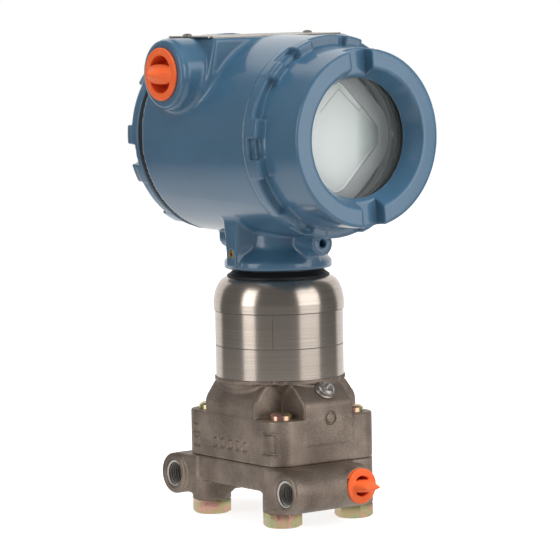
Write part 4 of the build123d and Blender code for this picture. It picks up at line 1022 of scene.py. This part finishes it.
class TRANSMITTER_OT_stage(bpy.types.Operator):
    """Set the camera, the floor, the soft boxes and the pale surround"""

    bl_idname = "transmitter.stage"
    bl_label = "Stage"

    def execute(self, context):
        looks = context.scene.transmitter_looks
        set_camera(context.scene, looks.lens)
        floor = pale_floor()
        away = 0.9
        for name, turn, height, wide, tall, power in (
            ("left_box", -92, 0.30, 0.38, 1.0, looks.key_power),
            ("right_box", 19, 0.30, 0.66, 1.0, looks.fill_power),
            ("top_box", 12, 2.40, 1.4, 1.4, looks.top_power),
        ):
            lamp = bpy.data.lights.new(name, "AREA")
            lamp.shape = "RECTANGLE"
            lamp.size, lamp.size_y = wide, tall
            lamp.energy = power
            box = bpy.data.objects.new(name, lamp)
            a = math.radians(turn)
            box.location = Vector((math.sin(a), -math.cos(a), height)) * away
            box.visible_glossy = name != "top_box"
            aim = Vector((0, 0, 0.12)) - box.location
            box.rotation_euler = aim.to_track_quat("-Z", "Y").to_euler()
            context.scene.collection.objects.link(box)
        pale_surround(context.scene)
        context.scene.view_settings.view_transform = "Standard"
        return {"FINISHED"}


def set_camera(scene, lens):
    """Camera as fitted to the photo: it stands in front and to the left, and a little above."""
    az, el, roll = (math.radians(a) for a in (VIEW_TURN, VIEW_RISE, VIEW_ROLL))
    back = Vector((math.sin(az) * math.cos(el), -math.cos(az) * math.cos(el), math.sin(el)))
    right = Vector((math.cos(az), math.sin(az), 0))
    up = back.cross(right)
    turned_right = math.cos(roll) * right + math.sin(roll) * up
    turned_up = -math.sin(roll) * right + math.cos(roll) * up
    aim = Vector((0, MIDDLE_Y, 120)) + 0.82 * right + Vector((0, 0, -2.13))
    camera = bpy.data.objects.new("camera", bpy.data.cameras.new("camera"))
    place = Matrix((turned_right, turned_up, back)).transposed().to_4x4()
    place.translation = (aim + back * VIEW_DISTANCE) * MM
    camera.matrix_world = place
    camera.data.lens = lens
    camera.data.clip_end = 20
    scene.collection.objects.link(camera)
    scene.camera = camera


def seen_directly(tree):
    """The light path node, and a level that is 1 where the camera or glass looks."""
    light = add(tree, "ShaderNodeLightPath")
    sockets = {0: light.outputs["Is Camera Ray"], 1: light.outputs["Is Transmission Ray"]}
    return light, add(tree, "ShaderNodeMath", sockets, operation="MAXIMUM").outputs[0]


def backdrop_level(tree, way, low, high):
    """A level that goes from low to high where a way points at the backdrop."""
    toward = add(tree, "ShaderNodeVectorMath", {0: way, 1: BACKDROP}, operation="DOT_PRODUCT")
    return ranged(tree, toward.outputs["Value"], 0.5, 0.62, low, high)


def pale_floor():
    """Wide flat floor that the camera sees white with the object's shadow kept. Mirrors see it
    white out to a table's edge and towards the backdrop, and darker elsewhere."""
    size, white = 3.0, 0.78
    mesh = bpy.data.meshes.new("floor")
    corners = [(-size, -size, 0), (size, -size, 0), (size, size, 0), (-size, size, 0)]
    mesh.from_pydata(corners, [], [(0, 1, 2, 3)])
    material, tree, surface, place = new_finish(
        "pale_floor", Roughness=0.9, Specular_IOR_Level=0.0
    )
    surface.inputs["Base Color"].default_value = linear("#E6E6E6")
    light, seen = seen_directly(tree)
    glow = add(tree, "ShaderNodeMath", {0: seen, 1: white}, operation="MULTIPLY")
    tree.links.new(glow.outputs[0], surface.inputs["Emission Strength"])
    surface.inputs["Emission Color"].default_value = (1, 1, 1, 1)
    away = add(tree, "ShaderNodeVectorMath", {0: place}, operation="LENGTH").outputs["Value"]
    table = ranged(tree, away, 0.30, 0.56, white, 0.12)
    outward = add(tree, "ShaderNodeVectorMath", {0: place}, operation="NORMALIZE").outputs["Vector"]
    behind = backdrop_level(tree, outward, 0.0, 1.0)
    glowing = add(tree, "ShaderNodeMath", {0: table, 1: behind}, operation="MAXIMUM")
    sockets = {"Color": (1, 1, 1, 1), "Strength": glowing.outputs[0]}
    mirrored = add(tree, "ShaderNodeEmission", sockets)
    sockets = {0: light.outputs["Is Glossy Ray"], 1: surface.outputs[0], 2: mirrored.outputs[0]}
    mixed = add(tree, "ShaderNodeMixShader", sockets)
    tree.links.new(mixed.outputs[0], tree.nodes["Material Output"].inputs["Surface"])
    mesh.materials.append(material)
    floor = bpy.data.objects.new("floor", mesh)
    bpy.context.scene.collection.objects.link(floor)
    return floor


def pale_surround(scene):
    """World: white where the camera or glass looks. Mirrors see a white backdrop behind the object
    and a dim room elsewhere, and everything else gets a plain soft level."""
    world = bpy.data.worlds.new("surround")
    scene.world = world
    world.use_nodes = True
    tree = world.node_tree
    tree.nodes.clear()
    light, seen = seen_directly(tree)
    way = add(tree, "ShaderNodeTexCoord").outputs["Generated"]
    room, plain, bright = (
        add(tree, "ShaderNodeBackground", {"Color": (1, 1, 1, 1), "Strength": level}).outputs[0]
        for level in (backdrop_level(tree, way, 0.19, 1.0), 0.29, 1.0)
    )
    lit = add(tree, "ShaderNodeMixShader", {0: light.outputs["Is Glossy Ray"], 1: plain, 2: room})
    mixed = add(tree, "ShaderNodeMixShader", {0: seen, 1: lit.outputs[0], 2: bright})
    add(tree, "ShaderNodeOutputWorld", {"Surface": mixed.outputs[0]})


class TRANSMITTER_PT_looks(bpy.types.Panel):
    """Sidebar panel that lists the steps"""

    bl_idname = "TRANSMITTER_PT_looks"
    bl_label = "Transmitter"
    bl_space_type = "VIEW_3D"
    bl_region_type = "UI"
    bl_category = "Transmitter"

    def draw(self, context):
        for name in TransmitterLooks.__annotations__:
            self.layout.prop(context.scene.transmitter_looks, name)
        for operator in STEPS:
            self.layout.operator(operator.bl_idname)


STEPS = (
    TRANSMITTER_OT_carried_nodes,
    TRANSMITTER_OT_castings,
    TRANSMITTER_OT_covers,
    TRANSMITTER_OT_plugs,
    TRANSMITTER_OT_small_parts,
    TRANSMITTER_OT_window,
    TRANSMITTER_OT_stage,
)


def register():
    """Register the properties, the steps and the panel."""
    for cls in (TransmitterLooks, *STEPS, TRANSMITTER_PT_looks):
        bpy.utils.register_class(cls)
    bpy.types.Scene.transmitter_looks = bpy.props.PointerProperty(type=TransmitterLooks)


def unregister():
    """Take them away again."""
    del bpy.types.Scene.transmitter_looks
    for cls in reversed((TransmitterLooks, *STEPS, TRANSMITTER_PT_looks)):
        bpy.utils.unregister_class(cls)


def main():
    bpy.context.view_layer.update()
    register()
    prepare_finishes()
    for step in STEPS:
        group, name = step.bl_idname.split(".")
        getattr(getattr(bpy.ops, group), name)()


if __name__ == "__main__":
    main()
